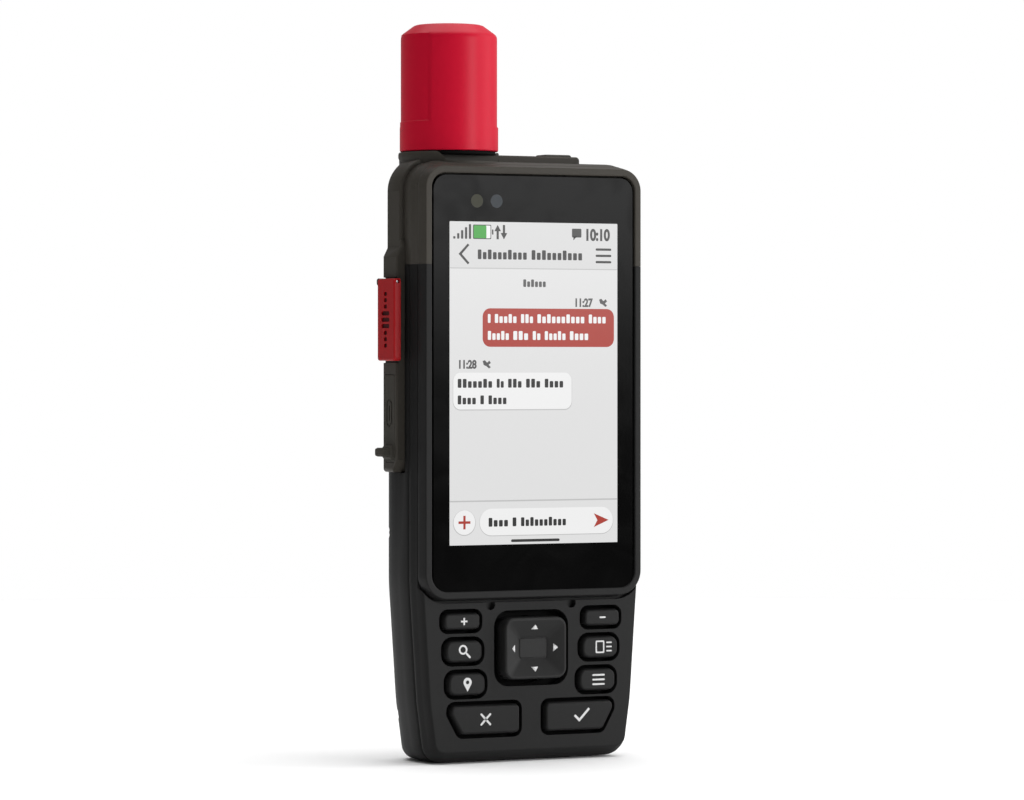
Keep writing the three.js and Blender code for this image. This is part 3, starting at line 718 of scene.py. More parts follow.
@dataclass
class FrontHousing:
    """The black front shell: bezel ring, side band and keypad panel."""

    shape: CaseShape
    bezel_half_width: float = 29.8
    bezel_low: float = 38.3
    bezel_high: float = 141.2
    bezel_radius: float = 6.3
    bezel_top_radius: float = 5.7
    groove: float = 0.6
    groove_floor: float = 2.6
    port_x: float = 11.0
    port_z: float = 37.1

    # (depth, side, bottom, top insets) of the outer face, front to back
    band = ((0.85, 1.5, 2.8, 1.5), (0.86, 1.34, 2.62, 1.3), (0.92, 1.2, 2.45, 1.2), (1.08, 1.08, 2.25, 1.05),
            (1.5, 0.9, 1.8, 0.8), (2.0, 0.72, 1.25, 0.6), (3.0, 0.55, 0.5, 0.5), (3.8, 0.42, 0.25, 0.4),
            (4.7, 0.12, 0.1, 0.12), (5.4, 0.06, 0.05, 0.06))

    def bezel_corners(self, grow: float = 0.0) -> list[Corner]:
        """Give the outline of the bezel ring, grown by an amount."""
        half, low, high = self.bezel_half_width + grow, self.bezel_low - grow, self.bezel_high + grow
        below, above = self.bezel_radius + grow, self.bezel_top_radius + grow
        return [Corner(half, low, below), Corner(half, high, above), Corner(-half, high, above),
                Corner(-half, low, below)]

    def bezel(self, name: str, upper: bool) -> bpy.types.Object:
        """Make the raised ring round the glass, above or below the two-tone seam."""
        profile = [(1.45, 2.2), (-0.62, 2.2), (-0.8, 2.12), (-0.88, 1.96), (-0.9, 1.8), (-0.9, 0.76),
                   (-0.86, 0.6),
                   (-0.72, 0.5), (-0.5, 0.44), (1.3, 0.06), (1.9, 0.0), (2.3, 0.06), (2.55, 0.3), (2.55, 4.6),
                   (1.45, 4.6)]
        ring = skin(name, front_loops(self.bezel_corners(), profile, steps=14), closed=True)
        gap = self.shape.seam / 2 * (1 if upper else -1)
        return keep_side(ring, self.shape.two_tone_z + gap, upper)

    def shell(self, wells: Sequence[Sequence[Point2]]) -> bpy.types.Object:
        """Make the band and the keypad panel in one piece, open behind the screen and under the keys."""
        wall = self.shape.wall
        stations = [*self.band, (5.8, 0.16, 0.15, 0.16), (5.95, 0.4, 0.4, 0.4)]
        piece = skin("front_shell", front_loops(self.shape.corners(), stations, steps=9))
        keep_side(piece, self.shape.two_tone_z - self.shape.seam / 2, False)
        hollow = skin("hollow", front_loops(self.shape.corners(), [(3.6, wall), (9, wall)]))
        step = skin("step",
                    front_loops(self.bezel_corners(self.groove), [(-5, 0), (self.groove_floor, 0)], steps=12))
        sides = [block("side", x, x + 6, -5, self.groove_floor, self.bezel_low + self.bezel_radius, 150)
                 for x in (-32, 26)]
        window = skin("window", front_loops(box_corners(-24.9, 24.9, 46, 132, 1.5), [(-5, 0), (9, 0)]))
        combine(piece, Join.CUT, hollow, step, *sides, window)
        for well in wells:
            combine(piece, Join.CUT, prism("well", well, -5, 9))
        for side in (-1, 1):
            port = lathe("port", [(0, -1), (1.2, -1), (1.2, 2.3), (0, 2.3)], side * self.port_x, self.port_z,
                         "y", 28)
            combine(piece, Join.CUT, port)
        return soften(piece, 0.2)

    def build(self, wells: Sequence[Sequence[Point2]]) -> None:
        """Make and dress the front shell's pieces."""
        dress(self.bezel("bezel_ring_lower", False), Finish.CHARCOAL_CASE, "case", "charcoal_case")
        dress(self.shell(wells), Finish.CHARCOAL_CASE, "case", "charcoal_case", "front_housing")


@dataclass
class BackCurve:
    """How the case curves in from its sides to its flat back."""

    start: float = 12.4
    flat: float = 25.0
    side: float = 10.0
    bottom: float = 2.6
    top: float = 7.0
    steps: int = 9

    def stations(self) -> list[tuple[float, ...]]:
        """Give (depth, side, bottom, top insets) from the sides to the back."""
        rows = []
        for i in range(self.steps + 1):
            angle = math.pi / 2 * i / self.steps
            draw = 1 - math.cos(angle)
            rows.append((self.start + (self.flat - self.start) * math.sin(angle),
                         0.15 + (self.side - 0.15) * draw, self.bottom * max(0.0, draw - 0.15),
                         0.12 + (self.top - 0.12) * draw))
        return rows


@dataclass
class RearShell:
    """The black rear shell, with the battery bulge, speaker slots, lanyard pocket and screw pockets."""

    shape: CaseShape
    curve: BackCurve = field(default_factory=BackCurve)

    def build(self) -> None:
        """Make and dress the shell."""
        shape, wall = self.shape, self.shape.wall
        outer = [(6.32, 0.42), (6.5, 0.2), (6.9, 0.06), (10.3, 0.02), (10.7, 0.06)]
        inner = [(21.4, wall), (6.32, wall)]
        loops = front_loops(shape.corners(), [*reversed(inner), *outer, *self.curve.stations()], steps=8)
        # the rings run from the hollow's floor out over the rim and round to the back
        loops = [loops[1], loops[0], *loops[2:]]
        shell = skin("rear_shell_case", loops)
        keep_side(shell, shape.two_tone_z - shape.seam / 2, False)
        bulge = skin("bulge", front_loops(box_corners(-19.8, 19.8, 40, 112, 8),
                                          [(24, 0), (26.3, 0), (26.8, 0.15), (27.15, 0.5), (27.3, 1.1)]))
        combine(shell, Join.ADD, bulge)
        for offset in (-3.6, 0, 3.6):
            slot = plate("slot", [bar(-6.4, 28.1 + offset, 6.4, 28.1 + offset, 1.4)], 22, 30)
            combine(shell, Join.CUT, slot)
        pocket = skin("pocket", front_loops(box_corners(-8, 8, 5, 14.5, 3),
                                            [(20.5, 1.2), (20.8, 0.6), (21.6, 0.2), (24.2, 0), (25.4, -0.7)]))
        stem_bore = lathe("stem_bore", [(0, -40), (1.6, -40), (1.6, -20), (0, -20)], 11.2, 104.5, "x", 24)
        combine(shell, Join.CUT, pocket, *screw_pockets(shape, False), rail_pocket(shape, False), stem_bore)
        soften(shell, 0.16)
        dress(shell, Finish.CHARCOAL_CASE, "case", "charcoal_case", "rear_shell")


def screw_pockets(shape: CaseShape, upper: bool) -> list[bpy.types.Object]:
    """Give the cutters of the flared screw pockets above or below the two-tone seam."""
    profile = [(0, 17.2), (1.95, 17.2), (1.95, 30), (0, 30)]
    chosen = [p for p in shape.screws if (p[1] > shape.two_tone_z) == upper]
    return [lathe("screw_pocket", profile, x, z, "y", 28) for x, z in chosen]


def rail_pocket(shape: CaseShape, upper: bool) -> bpy.types.Object:
    """Give the cutter of the strip that the side rail sits in."""
    if not upper:
        return block("rail_pocket", -40, -28.9, 7.9, 15.0, 68.4, 121.4)
    path = rail_path(shape, 116.0, 1.3, -6.0)
    return sweep("rail_pocket", path, [(0, 8.6), (1, 8.6), (1, 15.5), (0, 15.5)])


def rail_path(shape: CaseShape, low: float, inner: float, outer: float) -> list[tuple[Point2, Point2]]:
    """Give pairs of inner and outer points up the left side and over the shoulder of the case.

    Args:
        shape: the case.
        low: the height where the path starts.
        inner: inset of the inner points from the case's outline.
        outer: inset of the outer points, negative where they stand proud.

    Returns:
        (inner point, outer point) pairs.
    """
    centre = Vector((-(shape.half_width - shape.top_radius), shape.top - shape.top_radius))
    pairs: list[tuple[Point2, Point2]] = []
    for z in (low, (low + centre.y) / 2, centre.y):
        pairs.append(((-shape.half_width + inner, z), (-shape.half_width + outer, z)))
    steps = 14
    for i in range(1, steps + 1):
        angle = math.radians(180 - 88 * i / steps)
        direction = Vector((math.cos(angle), math.sin(angle)))
        near = centre + direction * (shape.top_radius - inner)
        far = centre + direction * (shape.top_radius - outer)
        pairs.append(((near.x, near.y), (far.x, far.y)))
    return pairs


def sweep(name: str, path: Sequence[tuple[Point2, Point2]],
          section: Sequence[Point2]) -> bpy.types.Object:
    """Skin a strip along pairs of inner and outer points.

    Args:
        name: the piece's name.
        path: (inner, outer) points seen from the front.
        section: (share from inner to outer, depth) points round the strip's section.

    Returns:
        The new piece.
    """
    loops = []
    for (ix, iz), (ox, oz) in path:
        loops.append([row(ix + (ox - ix) * share, depth, iz + (oz - iz) * share) for share, depth in section])
    return skin(name, loops)


@dataclass
class TopHousing:
    """The warm-grey top shell with the antenna plinth, the power-key platform and the flashlight."""

    shape: CaseShape
    front: FrontHousing
    curve: BackCurve = field(default_factory=BackCurve)

    def build(self) -> None:
        """Make and dress the shell and its part of the bezel."""
        shape, wall = self.shape, self.shape.wall
        outer = [*self.front.band[1:], (7.6, 0.3, 0.3, 0.25), (9.0, 0.12)]
        stations = [(21.2, wall), (1.5, wall), *outer, *self.curve.stations()]
        shell = skin("top_shell", front_loops(shape.corners(), stations, steps=12))
        keep_side(shell, shape.two_tone_z + shape.seam / 2, True)
        plinth = lathe("plinth",
                       [(0, 138.2), (10.8, 138.2), (11.75, 139.6), (11.8, 142.6), (12, 143.1), (12, 143.9),
                        (11.85, 144.3), (11.5, 144.4), (11.3, 144.3), (11.25, 143.7), (0, 143.65)],
                       shape.plinth_x, shape.plinth_depth, "z", 96)
        side = [(-24.0, 146.0), (-22.9, 144.2), (-21.0, 142.1), (4.0, 142.1), (4.0, 146.0)]
        pocket = skin("top_pocket", [[row(x, depth, z) for x, z in side] for depth in (-5, 8.4)])
        combine(plinth, Join.CUT, pocket)
        combine(shell, Join.CUT, rail_pocket(shape, True))
        platform = skin("platform", front_loops(box_corners(-4, 18.7, 138.4, 143.9, 0.9),
                                                [(10.2, 0.35), (10.45, 0), (17.6, 0), (18, 0.4)], steps=4))
        combine(shell, Join.ADD, plinth, platform)
        key_room = skin("key_room", front_loops(box_corners(9.5, 17.7, 130, 150, 0.3),
                                                [(11.4, 0), (16.8, 0)], steps=2))
        lamp_room = lathe("lamp_room", [(0, 18), (3.3, 18), (3.3, 24.6), (4.0, 25.3), (0, 25.3)], 0, 127, "y",
                          36)
        combine(shell, Join.CUT, key_room, lamp_room, *screw_pockets(shape, True))
        soften(shell, 0.16)
        dress(shell, Finish.WARM_CASE, "case", "warm_grey_case", "top_housing")
        dress(self.front.bezel("bezel_ring_upper", True), Finish.WARM_CASE, "case", "warm_grey_case")


def hinge_bore(stop: float) -> bpy.types.Object:
    """Give the solid that cuts the distress cover's hinge bore, up to a depth."""
    return lathe("hinge_bore", [(0, 0), (0.46, 0), (0.46, stop), (0, stop)], -32.95, 113.45, "y", 24)


@dataclass
class SideRail:
    """The warm-grey rail on the left side, which holds the distress key and the USB port."""

    shape: CaseShape
    outer: float = -32.4
    inner: float = -29.0
    front: float = 8.0
    back: float = 14.9
    low: float = 68.5
    shoulder: float = 121.3

    def strip(self) -> bpy.types.Object:
        """Make the straight strip with its sloping shoulder and its nose cut away at the lower front."""
        profile = [Corner(self.inner, self.low, 0.3), Corner(self.inner, self.shoulder + 2, 0.3),
                   Corner(-31.2, self.shoulder + 2, 0.3), Corner(-31.2, self.shoulder, 0.4),
                   Corner(self.outer, 119.5, 0.7), Corner(self.outer, self.low, 0.9)]
        stations = [(self.front, 0.4), (self.front + 0.1, 0.14), (self.front + 0.36, 0),
                    (self.back - 0.36, 0), (self.back - 0.1, 0.14), (self.back, 0.4)]
        piece = skin("side_rail_strip", front_loops(profile, stations, steps=5))
        nose = [(-5.0, 60.0), (self.front + 2.6, 60.0), (self.front + 2.6, self.low - 0.2),
                (self.front - 0.6, self.low + 3.6), (-5.0, self.low + 3.6)]
        cutter = skin("nose", [[row(x, depth, z) for depth, z in nose] for x in (-40, -20)])
        return combine(piece, Join.CUT, cutter)

    def build(self) -> None:
        """Make and dress the rail."""
        rail = self.strip()
        section = [(0, 8.5), (0.72, 8.5), (0.9, 8.62), (1, 8.95), (1, 14.7), (0.9, 15.2), (0.7, 15.4),
                   (0, 15.4)]
        upper = sweep("upper", rail_path(self.shape, 120.4, 1.1, -0.9), section)
        room = lathe("room", [(0, 100), (11.85, 100), (11.85, 150), (0, 150)], self.shape.plinth_x,
                     self.shape.plinth_depth, "z", 72)
        combine(upper, Join.CUT, room)
        combine(rail, Join.ADD, upper)
        sos_bed = block("sos_bed", -40, -31.7, 0, 20, 94.3, 114.5)
        sos_well = skin("sos_well", side_loops(box_corners(8.5, 13.9, 98, 110.6, 2), [(-40, 0), (-31.2, 0)]))
        button_room = lathe("button_room", [(0, -40), (2.68, -40), (2.68, -20), (0, -20)], 11.2, 104.5, "x",
                            36)
        usb_bed = skin("usb_bed",
                       side_loops(box_corners(8.78, 14.22, 70.8, 91.6, 0.8), [(-40, 0), (-31.3, 0)]))
        plug_room = skin("plug_room",
                         side_loops(box_corners(9.6, 14.1, 75.8, 88.2, 1.6), [(-40, 0), (-30.3, 0)]))
        port = skin("port", side_loops(box_corners(10.2, 14, 77.1, 86.9, 1.8), [(-40, 0), (-20, 0)]))
        combine(rail, Join.CUT, sos_bed, sos_well, button_room, usb_bed, plug_room, port)
        ear = skin("ear", side_loops(box_corners(14.95, 16.2, 112.6, 114.3, 0.6),
                                     [(-33.45, 0.15), (-33.3, 0), (-30, 0)]))
        root = block("root", -31.5, -30, 14.2, 16.0, 112.8, 114.1)
        combine(rail, Join.ADD, ear, root)
        combine(rail, Join.CUT, hinge_bore(16.1))
        soften(rail, 0.1)
        dress(rail, Finish.WARM_CASE, "case", "warm_grey_case", "side_rail")


# ---------------------------------------------------------------- glass and screen


@dataclass
class GlassFront:
    """The black-bordered cover glass and its two sensor windows."""

    half_width: float = 27.25
    low: float = 40.24
    high: float = 138.7
    radius: float = 3.6

    def build(self) -> None:
        """Make and dress the glass."""
        corners = box_corners(-self.half_width, self.half_width, self.low, self.high, self.radius)
        stations = [(0.6, 0.1), (0.5, 0.0), (-0.42, 0.0), (-0.54, 0.05), (-0.6, 0.17)]
        pane = skin("glass_pane", front_loops(corners, stations, steps=10))
        dress(pane, Finish.GLASS, "case", "cover_glass", "cover_glass", sharp_degrees=60)
        for name, x, finish in (("light_sensor_window", -15.5, Finish.SENSOR_WARM),
                                ("proximity_sensor_window", -10.2, Finish.SENSOR_COOL)):
            window = plate(name, [circle(x, 132.5, 1.6, 40)], -0.62, -0.5)
            dress(window, finish, "case", "cover_glass")


@dataclass
class Screen:
    """The lit display: a message thread drawn with plain shapes and no words."""

    left: float = -22.85
    right: float = 22.85
    low: float = 51.4
    high: float = 127.6
    face: float = -0.62
    step: float = 0.012
    count: int = 0

    def patch(self, name: str, outlines: Sequence[Sequence[Point2]], finish: Finish, layer: int) -> None:
        """Lay one flat patch of colour on the display.

        Args:
            name: the patch's name.
            outlines: its closed outlines.
            finish: its colour.
            layer: how many layers it lies over.
        """
        front = self.face - self.step * layer
        piece = plate(f"screen_{name}", outlines, front, self.face + 0.1)
        dress(piece, finish, "case", "display")
        self.count += 1

    def words(self, x: float, z: float, lengths: Sequence[float], height: float) -> list[list[Point2]]:
        """Give a line of plain upright blocks, grouped as words but spelling nothing.

        Args:
            x: left end of the line.
            z: its middle height.
            lengths: the length of each group.
            height: the height of a tall block.

        Returns:
            The blocks' outlines.
        """
        blocks = []
        pitch = height * 0.62
        low = z - height / 2
        for length in lengths:
            count = max(1, round(length / pitch))
            step = length / count
            for i in range(count):
                tall = i == 0 or (i * 5 + count) % 4 == 0
                high = low + height * (1.0 if tall else 0.74)
                left = x + i * step
                blocks.append(rounded_box(left, left + step * 0.72, low, high, 0.2, steps=2))
            x += length + height * 0.42
        return blocks

    def digits(self, name: str, text: str, x: float, z: float, size: float, finish: Finish,
               layer: int) -> None:
        """Write a clock time in plain digits.

        Args:
            name: the piece's name.
            text: the digits.
            x: left end.
            z: base line.
            size: height of the digits.
            finish: their colour.
            layer: how many layers they lie over.
        """
        curve = bpy.data.curves.new(name, "FONT")
        curve.body = text
        curve.size = size * 1.38 * MM
        curve.space_character = 0.98
        curve.extrude = 0.02 * MM
        curve.offset = size * 0.06 * MM
        holder = bpy.data.objects.new(name, curve)
        data = bpy.data.meshes.new_from_object(holder)
        bpy.data.objects.remove(holder)
        front = self.face - self.step * layer
        for vert in data.vertices:
            across, up, out = vert.co
            vert.co = row(x + across / MM * 0.86, front + 0.02 - out / MM, z + up / MM)
        piece = link(f"screen_{name}", data)
        dress(piece, finish, "case", "display")

    def status_bar(self) -> None:
        """Draw the signal, battery, data and message signs and the clock."""
        signal = [rounded_box(-21.9 + 1.05 * i, -21.3 + 1.05 * i, 123.5, 124.1 + 0.72 * i, 0.12, steps=1)
                  for i in range(5)]
        self.patch("signal", signal, Finish.SCREEN_INK, 2)
        self.patch("battery_case", [rounded_box(-16.6, -11.7, 123.5, 126.9, 0.3)], Finish.SCREEN_INK, 2)
        self.patch("battery_room", [rounded_box(-16.4, -11.9, 123.7, 126.7, 0.2)], Finish.SCREEN_BUBBLE, 3)
        self.patch("battery_charge", [rounded_box(-16.4, -13.0, 123.7, 126.7, 0.2)], Finish.SCREEN_GREEN, 4)
        self.patch("battery_tip", [rounded_box(-11.5, -11.1, 124.6, 125.8, 0.1)], Finish.SCREEN_INK, 2)
        up = [(-10.25, 123.5), (-9.65, 123.5), (-9.65, 125.4), (-9.05, 125.4), (-9.95, 126.9),
              (-10.85, 125.4), (-10.25, 125.4)]
        down = [(-18.2 - x, 250.4 - z) for x, z in up]
        self.patch("data_arrows", [up, down], Finish.SCREEN_INK, 2)
        self.patch("message_sign", [rounded_box(10.3, 12.9, 124.2, 126.3, 0.25)], Finish.SCREEN_INK, 2)
        self.patch("message_tail", [[(10.7, 124.4), (10.7, 123.5), (11.6, 124.4)]], Finish.SCREEN_INK, 2)
        self.digits("clock", "10:10", 13.75, 123.6, 2.7, Finish.SCREEN_INK, 2)

    def title_bar(self) -> None:
        """Draw the back arrow, the title's bars and the menu sign."""
        arrow = [(-18.0, 122.4), (-17.55, 122.05), (-19.6, 119.95), (-17.55, 117.85), (-18.0, 117.5),
                 (-20.45, 119.95)]
        self.patch("back_arrow", [arrow], Finish.SCREEN_INK, 2)
        self.patch("title", self.words(-15.3, 119.9, (13.6, 14.2), 2.3), Finish.SCREEN_INK, 2)
        lines = [bar(17.1, z, 20.9, z, 0.55) for z in (118.4, 119.9, 121.4)]
        self.patch("menu_sign", lines, Finish.SCREEN_INK, 2)

    def thread(self) -> None:
        """Draw the day mark, the sent and received bubbles and their times."""
        self.patch("day", self.words(-3.0, 113.2, (6.4,), 1.8), Finish.SCREEN_GREY, 2)
        self.digits("sent_time", "11:27", 10.9, 107.75, 1.95, Finish.SCREEN_GREY, 2)
        self.patch("sent_sign", [self.dish(18.9, 108.7)], Finish.SCREEN_GREY, 2)
        self.patch("sent_bubble", [rounded_box(-14.0, 21.9, 98.1, 107.2, 2.0)], Finish.SCREEN_RED, 2)
        sent = self.words(-12.6, 104.8, (1.0, 6.2, 3.6, 13.2, 5.0), 2.1)
        sent += self.words(-12.6, 100.8, (6.0, 4.4, 2.4, 6.0, 5.4), 2.1)
        self.patch("sent_text", sent, Finish.SCREEN_BUBBLE, 3)
        self.digits("received_time", "11:28", -20.7, 93.05, 1.95, Finish.SCREEN_GREY, 2)
        self.patch("received_sign", [self.dish(-12.9, 94.0)], Finish.SCREEN_GREY, 2)
        self.patch("received_shade", [rounded_box(-22.0, 10.3, 83.1, 92.0, 2.0)], Finish.SCREEN_LINE, 2)
        self.patch("received_bubble", [rounded_box(-21.9, 10.2, 83.35, 92.0, 1.9)], Finish.SCREEN_BUBBLE, 3)
        got = self.words(-20.7, 89.5, (9.6, 2.2, 4.0, 4.2, 5.4), 2.1)
        got += self.words(-20.7, 85.6, (5.2, 1.3, 5.2), 2.1)
        self.patch("received_text", got, Finish.SCREEN_INK, 4)

    def dish(self, x: float, z: float) -> list[Point2]:
        """Give a small plain link sign, a tilted diamond between two wings."""
        return [(x - 1.1, z + 0.75), (x - 0.5, z + 0.95), (x + 0.1, z + 0.35), (x + 0.7, z + 0.85),
                (x + 1.1, z + 0.3),
                (x + 0.5, z - 0.15), (x + 1.1, z - 0.7), (x + 0.6, z - 1.0), (x - 0.1, z - 0.45),
                (x - 0.8, z - 0.2)]

    def entry_bar(self) -> None:
        """Draw the add button, the entry field, the send arrow and the home bar."""
        self.patch("entry_rule", [rounded_box(self.left, self.right, 61.55, 61.9, 0.12)], Finish.SCREEN_LINE,
                   2)
        self.patch("add_shade", [circle(-18.9, 56.65, 3.05, 40)], Finish.SCREEN_LINE, 2)
        self.patch("add_button", [circle(-18.9, 56.75, 2.9, 40)], Finish.SCREEN_BUBBLE, 3)
        self.patch("add_sign", [moved(plus_sign(1.6, 0.3), -18.9, 56.75)], Finish.SCREEN_RED, 4)
        self.patch("entry_shade", [rounded_box(-14.9, 21.7, 53.4, 59.9, 3.2)], Finish.SCREEN_LINE, 2)
        self.patch("entry_field", [rounded_box(-14.8, 21.6, 53.6, 59.9, 3.1)], Finish.SCREEN_BUBBLE, 3)
        self.patch("entry_text", self.words(-12.4, 56.7, (5.6, 1.4, 12.6), 2.1), Finish.SCREEN_INK, 4)
        dart = [(16.3, 58.4), (20.4, 56.75), (16.3, 55.1), (17.3, 56.75)]
        self.patch("send_arrow", [dart], Finish.SCREEN_RED, 4)
        self.patch("home_bar", [bar(-6.0, 52.25, 6.6, 52.25, 0.65)], Finish.SCREEN_INK, 2)

    def build(self) -> None:
        """Draw the whole screen."""
        self.patch("body", [rounded_box(self.left, self.right, self.low, self.high, 0.12, steps=1)],
                   Finish.SCREEN_BODY, 0)
        self.patch("header", [rounded_box(self.left, self.right, 116.7, self.high, 0.12, steps=1)],
                   Finish.SCREEN_HEADER, 1)
        self.patch("header_rule", [rounded_box(self.left, self.right, 116.5, 116.75, 0.12, steps=1)],
                   Finish.SCREEN_LINE, 2)
        self.status_bar()
        self.title_bar()
        self.thread()
        self.entry_bar()
        LOG.info("screen: %d patches", self.count)


# ---------------------------------------------------------------- keypad


@dataclass(frozen=True)
class KeySpec:
    """A pair of mirrored keys: names, and the right-hand key's size."""

    left: str
    right: str
    inner: float
    outer: float
    low: float
    high: float
    radius: float

    def corners(self, side: int) -> list[Corner]:
        """Give the key's outline on the right (1) or the left (-1)."""
        shape = box_corners(self.inner, self.outer, self.low, self.high, self.radius)
        if self.left == "key_quit":
            shape = [Corner(self.inner, self.low, self.radius), Corner(19.2, self.low, self.radius),
                     Corner(self.outer, 11.6, self.radius), Corner(self.outer, self.high, self.radius),
                     Corner(self.inner, self.high, self.radius)]
        if side > 0:
            return shape
        return [Corner(-c.x, c.z, c.radius) for c in reversed(shape)]


@dataclass
class Keypad:
    """The eight keys, their printed signs and the direction pad."""

    pad_z: float = 26.7
    pad_half: float = 8.5
    pad_radius: float = 2.6
    rows: tuple[KeySpec, ...] = (
        KeySpec("key_plus", "key_minus", 14.2, 23.9, 31.5, 35.4, 1.25),
        KeySpec("key_find", "key_page", 13.6, 23.4, 23.8, 28.9, 1.9),
        KeySpec("key_mark", "key_menu", 12.8, 22.7, 16.0, 21.2, 1.9),
        KeySpec("key_quit", "key_enter", 3.5, 22.0, 6.7, 13.6, 1.2),
    )

    def wells(self) -> list[list[Point2]]:
        """Give the outlines of the holes that the keys stand in."""
        holes = [rounded(spec.corners(side), -0.95) for spec in self.rows for side in (-1, 1)]
        holes.append(rounded_box(-10.1, 10.1, self.pad_z - 9.0, self.pad_z + 9.0, 3.8))
        return holes

    def keycap(self, name: str, corners: Sequence[Corner]) -> None:
        """Make one keycap: a flat top, a soft edge and sloping sides."""
        stations = [(3.5, -0.1), (1.2, -0.1), (0.45, 0.12), (0.18, 0.22), (0.04, 0.4), (0.0, 0.62)]
        cap = skin(f"{name}_cap", front_loops(corners, stations, steps=7))
        dress(cap, Finish.KEYCAP, name, "keycap", name, sharp_degrees=50)

    def direction_pad(self) -> None:
        """Make the pad: a rounded square whose four faces fall to a small pad in the middle."""
        outer = box_corners(-self.pad_half, self.pad_half, self.pad_z - self.pad_half + 1.1,
                            self.pad_z + self.pad_half - 1.1, self.pad_radius)
        stations = [(3.3, 0.5), (2.9, 0.1), (0.6, 0.0), (-1.1, 0.1), (-1.42, 0.25), (-1.58, 0.5),
                    (-1.58, 0.8), (-1.45, 1.15)]
        loops = front_loops(outer, stations, steps=6)
        inner = box_corners(-3.9, 3.9, self.pad_z - 2.6, self.pad_z + 2.6, 0.75)
        loops += front_loops(inner, [(-0.1, -0.25), (0.02, 0.0), (0.14, 0.12), (0.14, 0.26), (0.0, 0.4)],
                             steps=6)
        pad = skin("direction_pad", loops)
        dress(pad, Finish.DPAD, "dpad", "keycap", "dpad_cap", sharp_degrees=40)

    def slope(self, x: float, z: float) -> float:
        """Give the depth of the pad's dished face at a point."""
        rim_x, rim_z = self.pad_half - 1.15, self.pad_half - 2.25
        share_x = (abs(x) - 4.15) / (rim_x - 4.15)
        share_z = (abs(z - self.pad_z) - 2.85) / (rim_z - 2.85)
        share = max(0.0, min(1.0, max(share_x, share_z)))
        return -0.1 - 1.35 * share

    def flat(self, x: float, z: float) -> float:
        """Give the depth of a key's flat face, which is the same at every point."""
        return 0.0

    def sign(self, name: str, outlines: Sequence[Sequence[Point2]], body: str,
             face: Callable[[float, float], float]) -> None:
        """Print a sign on a face.

        Args:
            name: the sign's name.
            outlines: its closed outlines.
            body: the body it moves with.
            face: gives the face's depth at a point.
        """
        piece = plate(name, outlines, -0.015, 0.03)
        for vert in piece.data.vertices:
            vert.co.y += face(vert.co.x / MM, vert.co.z / MM) * MM
        dress(piece, Finish.LEGEND, body, "keycap")

    def signs(self) -> None:
        """Print a plain sign on each key in place of its word."""
        pin = arc(-17.7, 19.1, 1.1, -35, 215, 18) + [(-17.7, 16.9)]
        tick = [(11.2, 10.1), (12.7, 8.7), (15.6, 11.6), (15.2, 12.0), (12.7, 9.5), (11.6, 10.5)]
        flat_signs: tuple[tuple[str, str, list[list[Point2]]], ...] = (
            ("plus", "plus", [moved(plus_sign(0.85, 0.2), -18.6, 33.45)]),
            ("minus", "minus", [bar(18.5, 33.45, 19.75, 33.45, 0.42)]),
            ("find", "find", [circle(-18.9, 26.8, 1.15), circle(-18.9, 26.8, 0.72)]),
            ("find_grip", "find", [bar(-17.95, 25.85, -17.1, 25.0, 0.5)]),
            ("page", "page",
             [rounded_box(17.2, 19.6, 24.9, 27.9, 0.3), rounded_box(17.55, 19.25, 25.25, 27.55, 0.2)]),
            ("page_lines", "page", [bar(20.3, z, 21.5, z, 0.35) for z in (25.4, 26.4, 27.4)]),
            ("mark", "mark", [pin, circle(-17.7, 19.1, 0.45, 20)]),
            ("menu", "menu", [bar(16.5, z, 19.5, z, 0.42) for z in (17.5, 18.6, 19.7)]),
            ("quit", "quit", [bar(-14.0, 9.0, -11.6, 11.4, 0.5)]),
            ("quit_across", "quit", [bar(-14.0, 11.4, -11.6, 9.0, 0.5)]),
            ("enter", "enter", [tick]),
        )
        for name, key, outlines in flat_signs:
            self.sign(f"sign_{name}", outlines, f"key_{key}", self.flat)
        for name, dx, dz in (("up", 0, 1), ("down", 0, -1), ("left", -1, 0), ("right", 1, 0)):
            reach = 4.45 if dz else 5.2
            tip = (dx * (reach + 1.05), self.pad_z + dz * (reach + 1.15))
            wing_a = (dx * reach - dz * 0.95, self.pad_z + dz * reach + dx * 0.95)
            wing_b = (dx * reach + dz * 0.95, self.pad_z + dz * reach - dx * 0.95)
            self.sign(f"sign_pad_{name}", [[tip, wing_a, wing_b]], "dpad", self.slope)

    def build(self) -> None:
        """Make the whole keypad."""
        for spec in self.rows:
            self.keycap(spec.left, spec.corners(-1))
            self.keycap(spec.right, spec.corners(1))
        self.direction_pad()
        self.signs()


# ---------------------------------------------------------------- antenna, controls and back


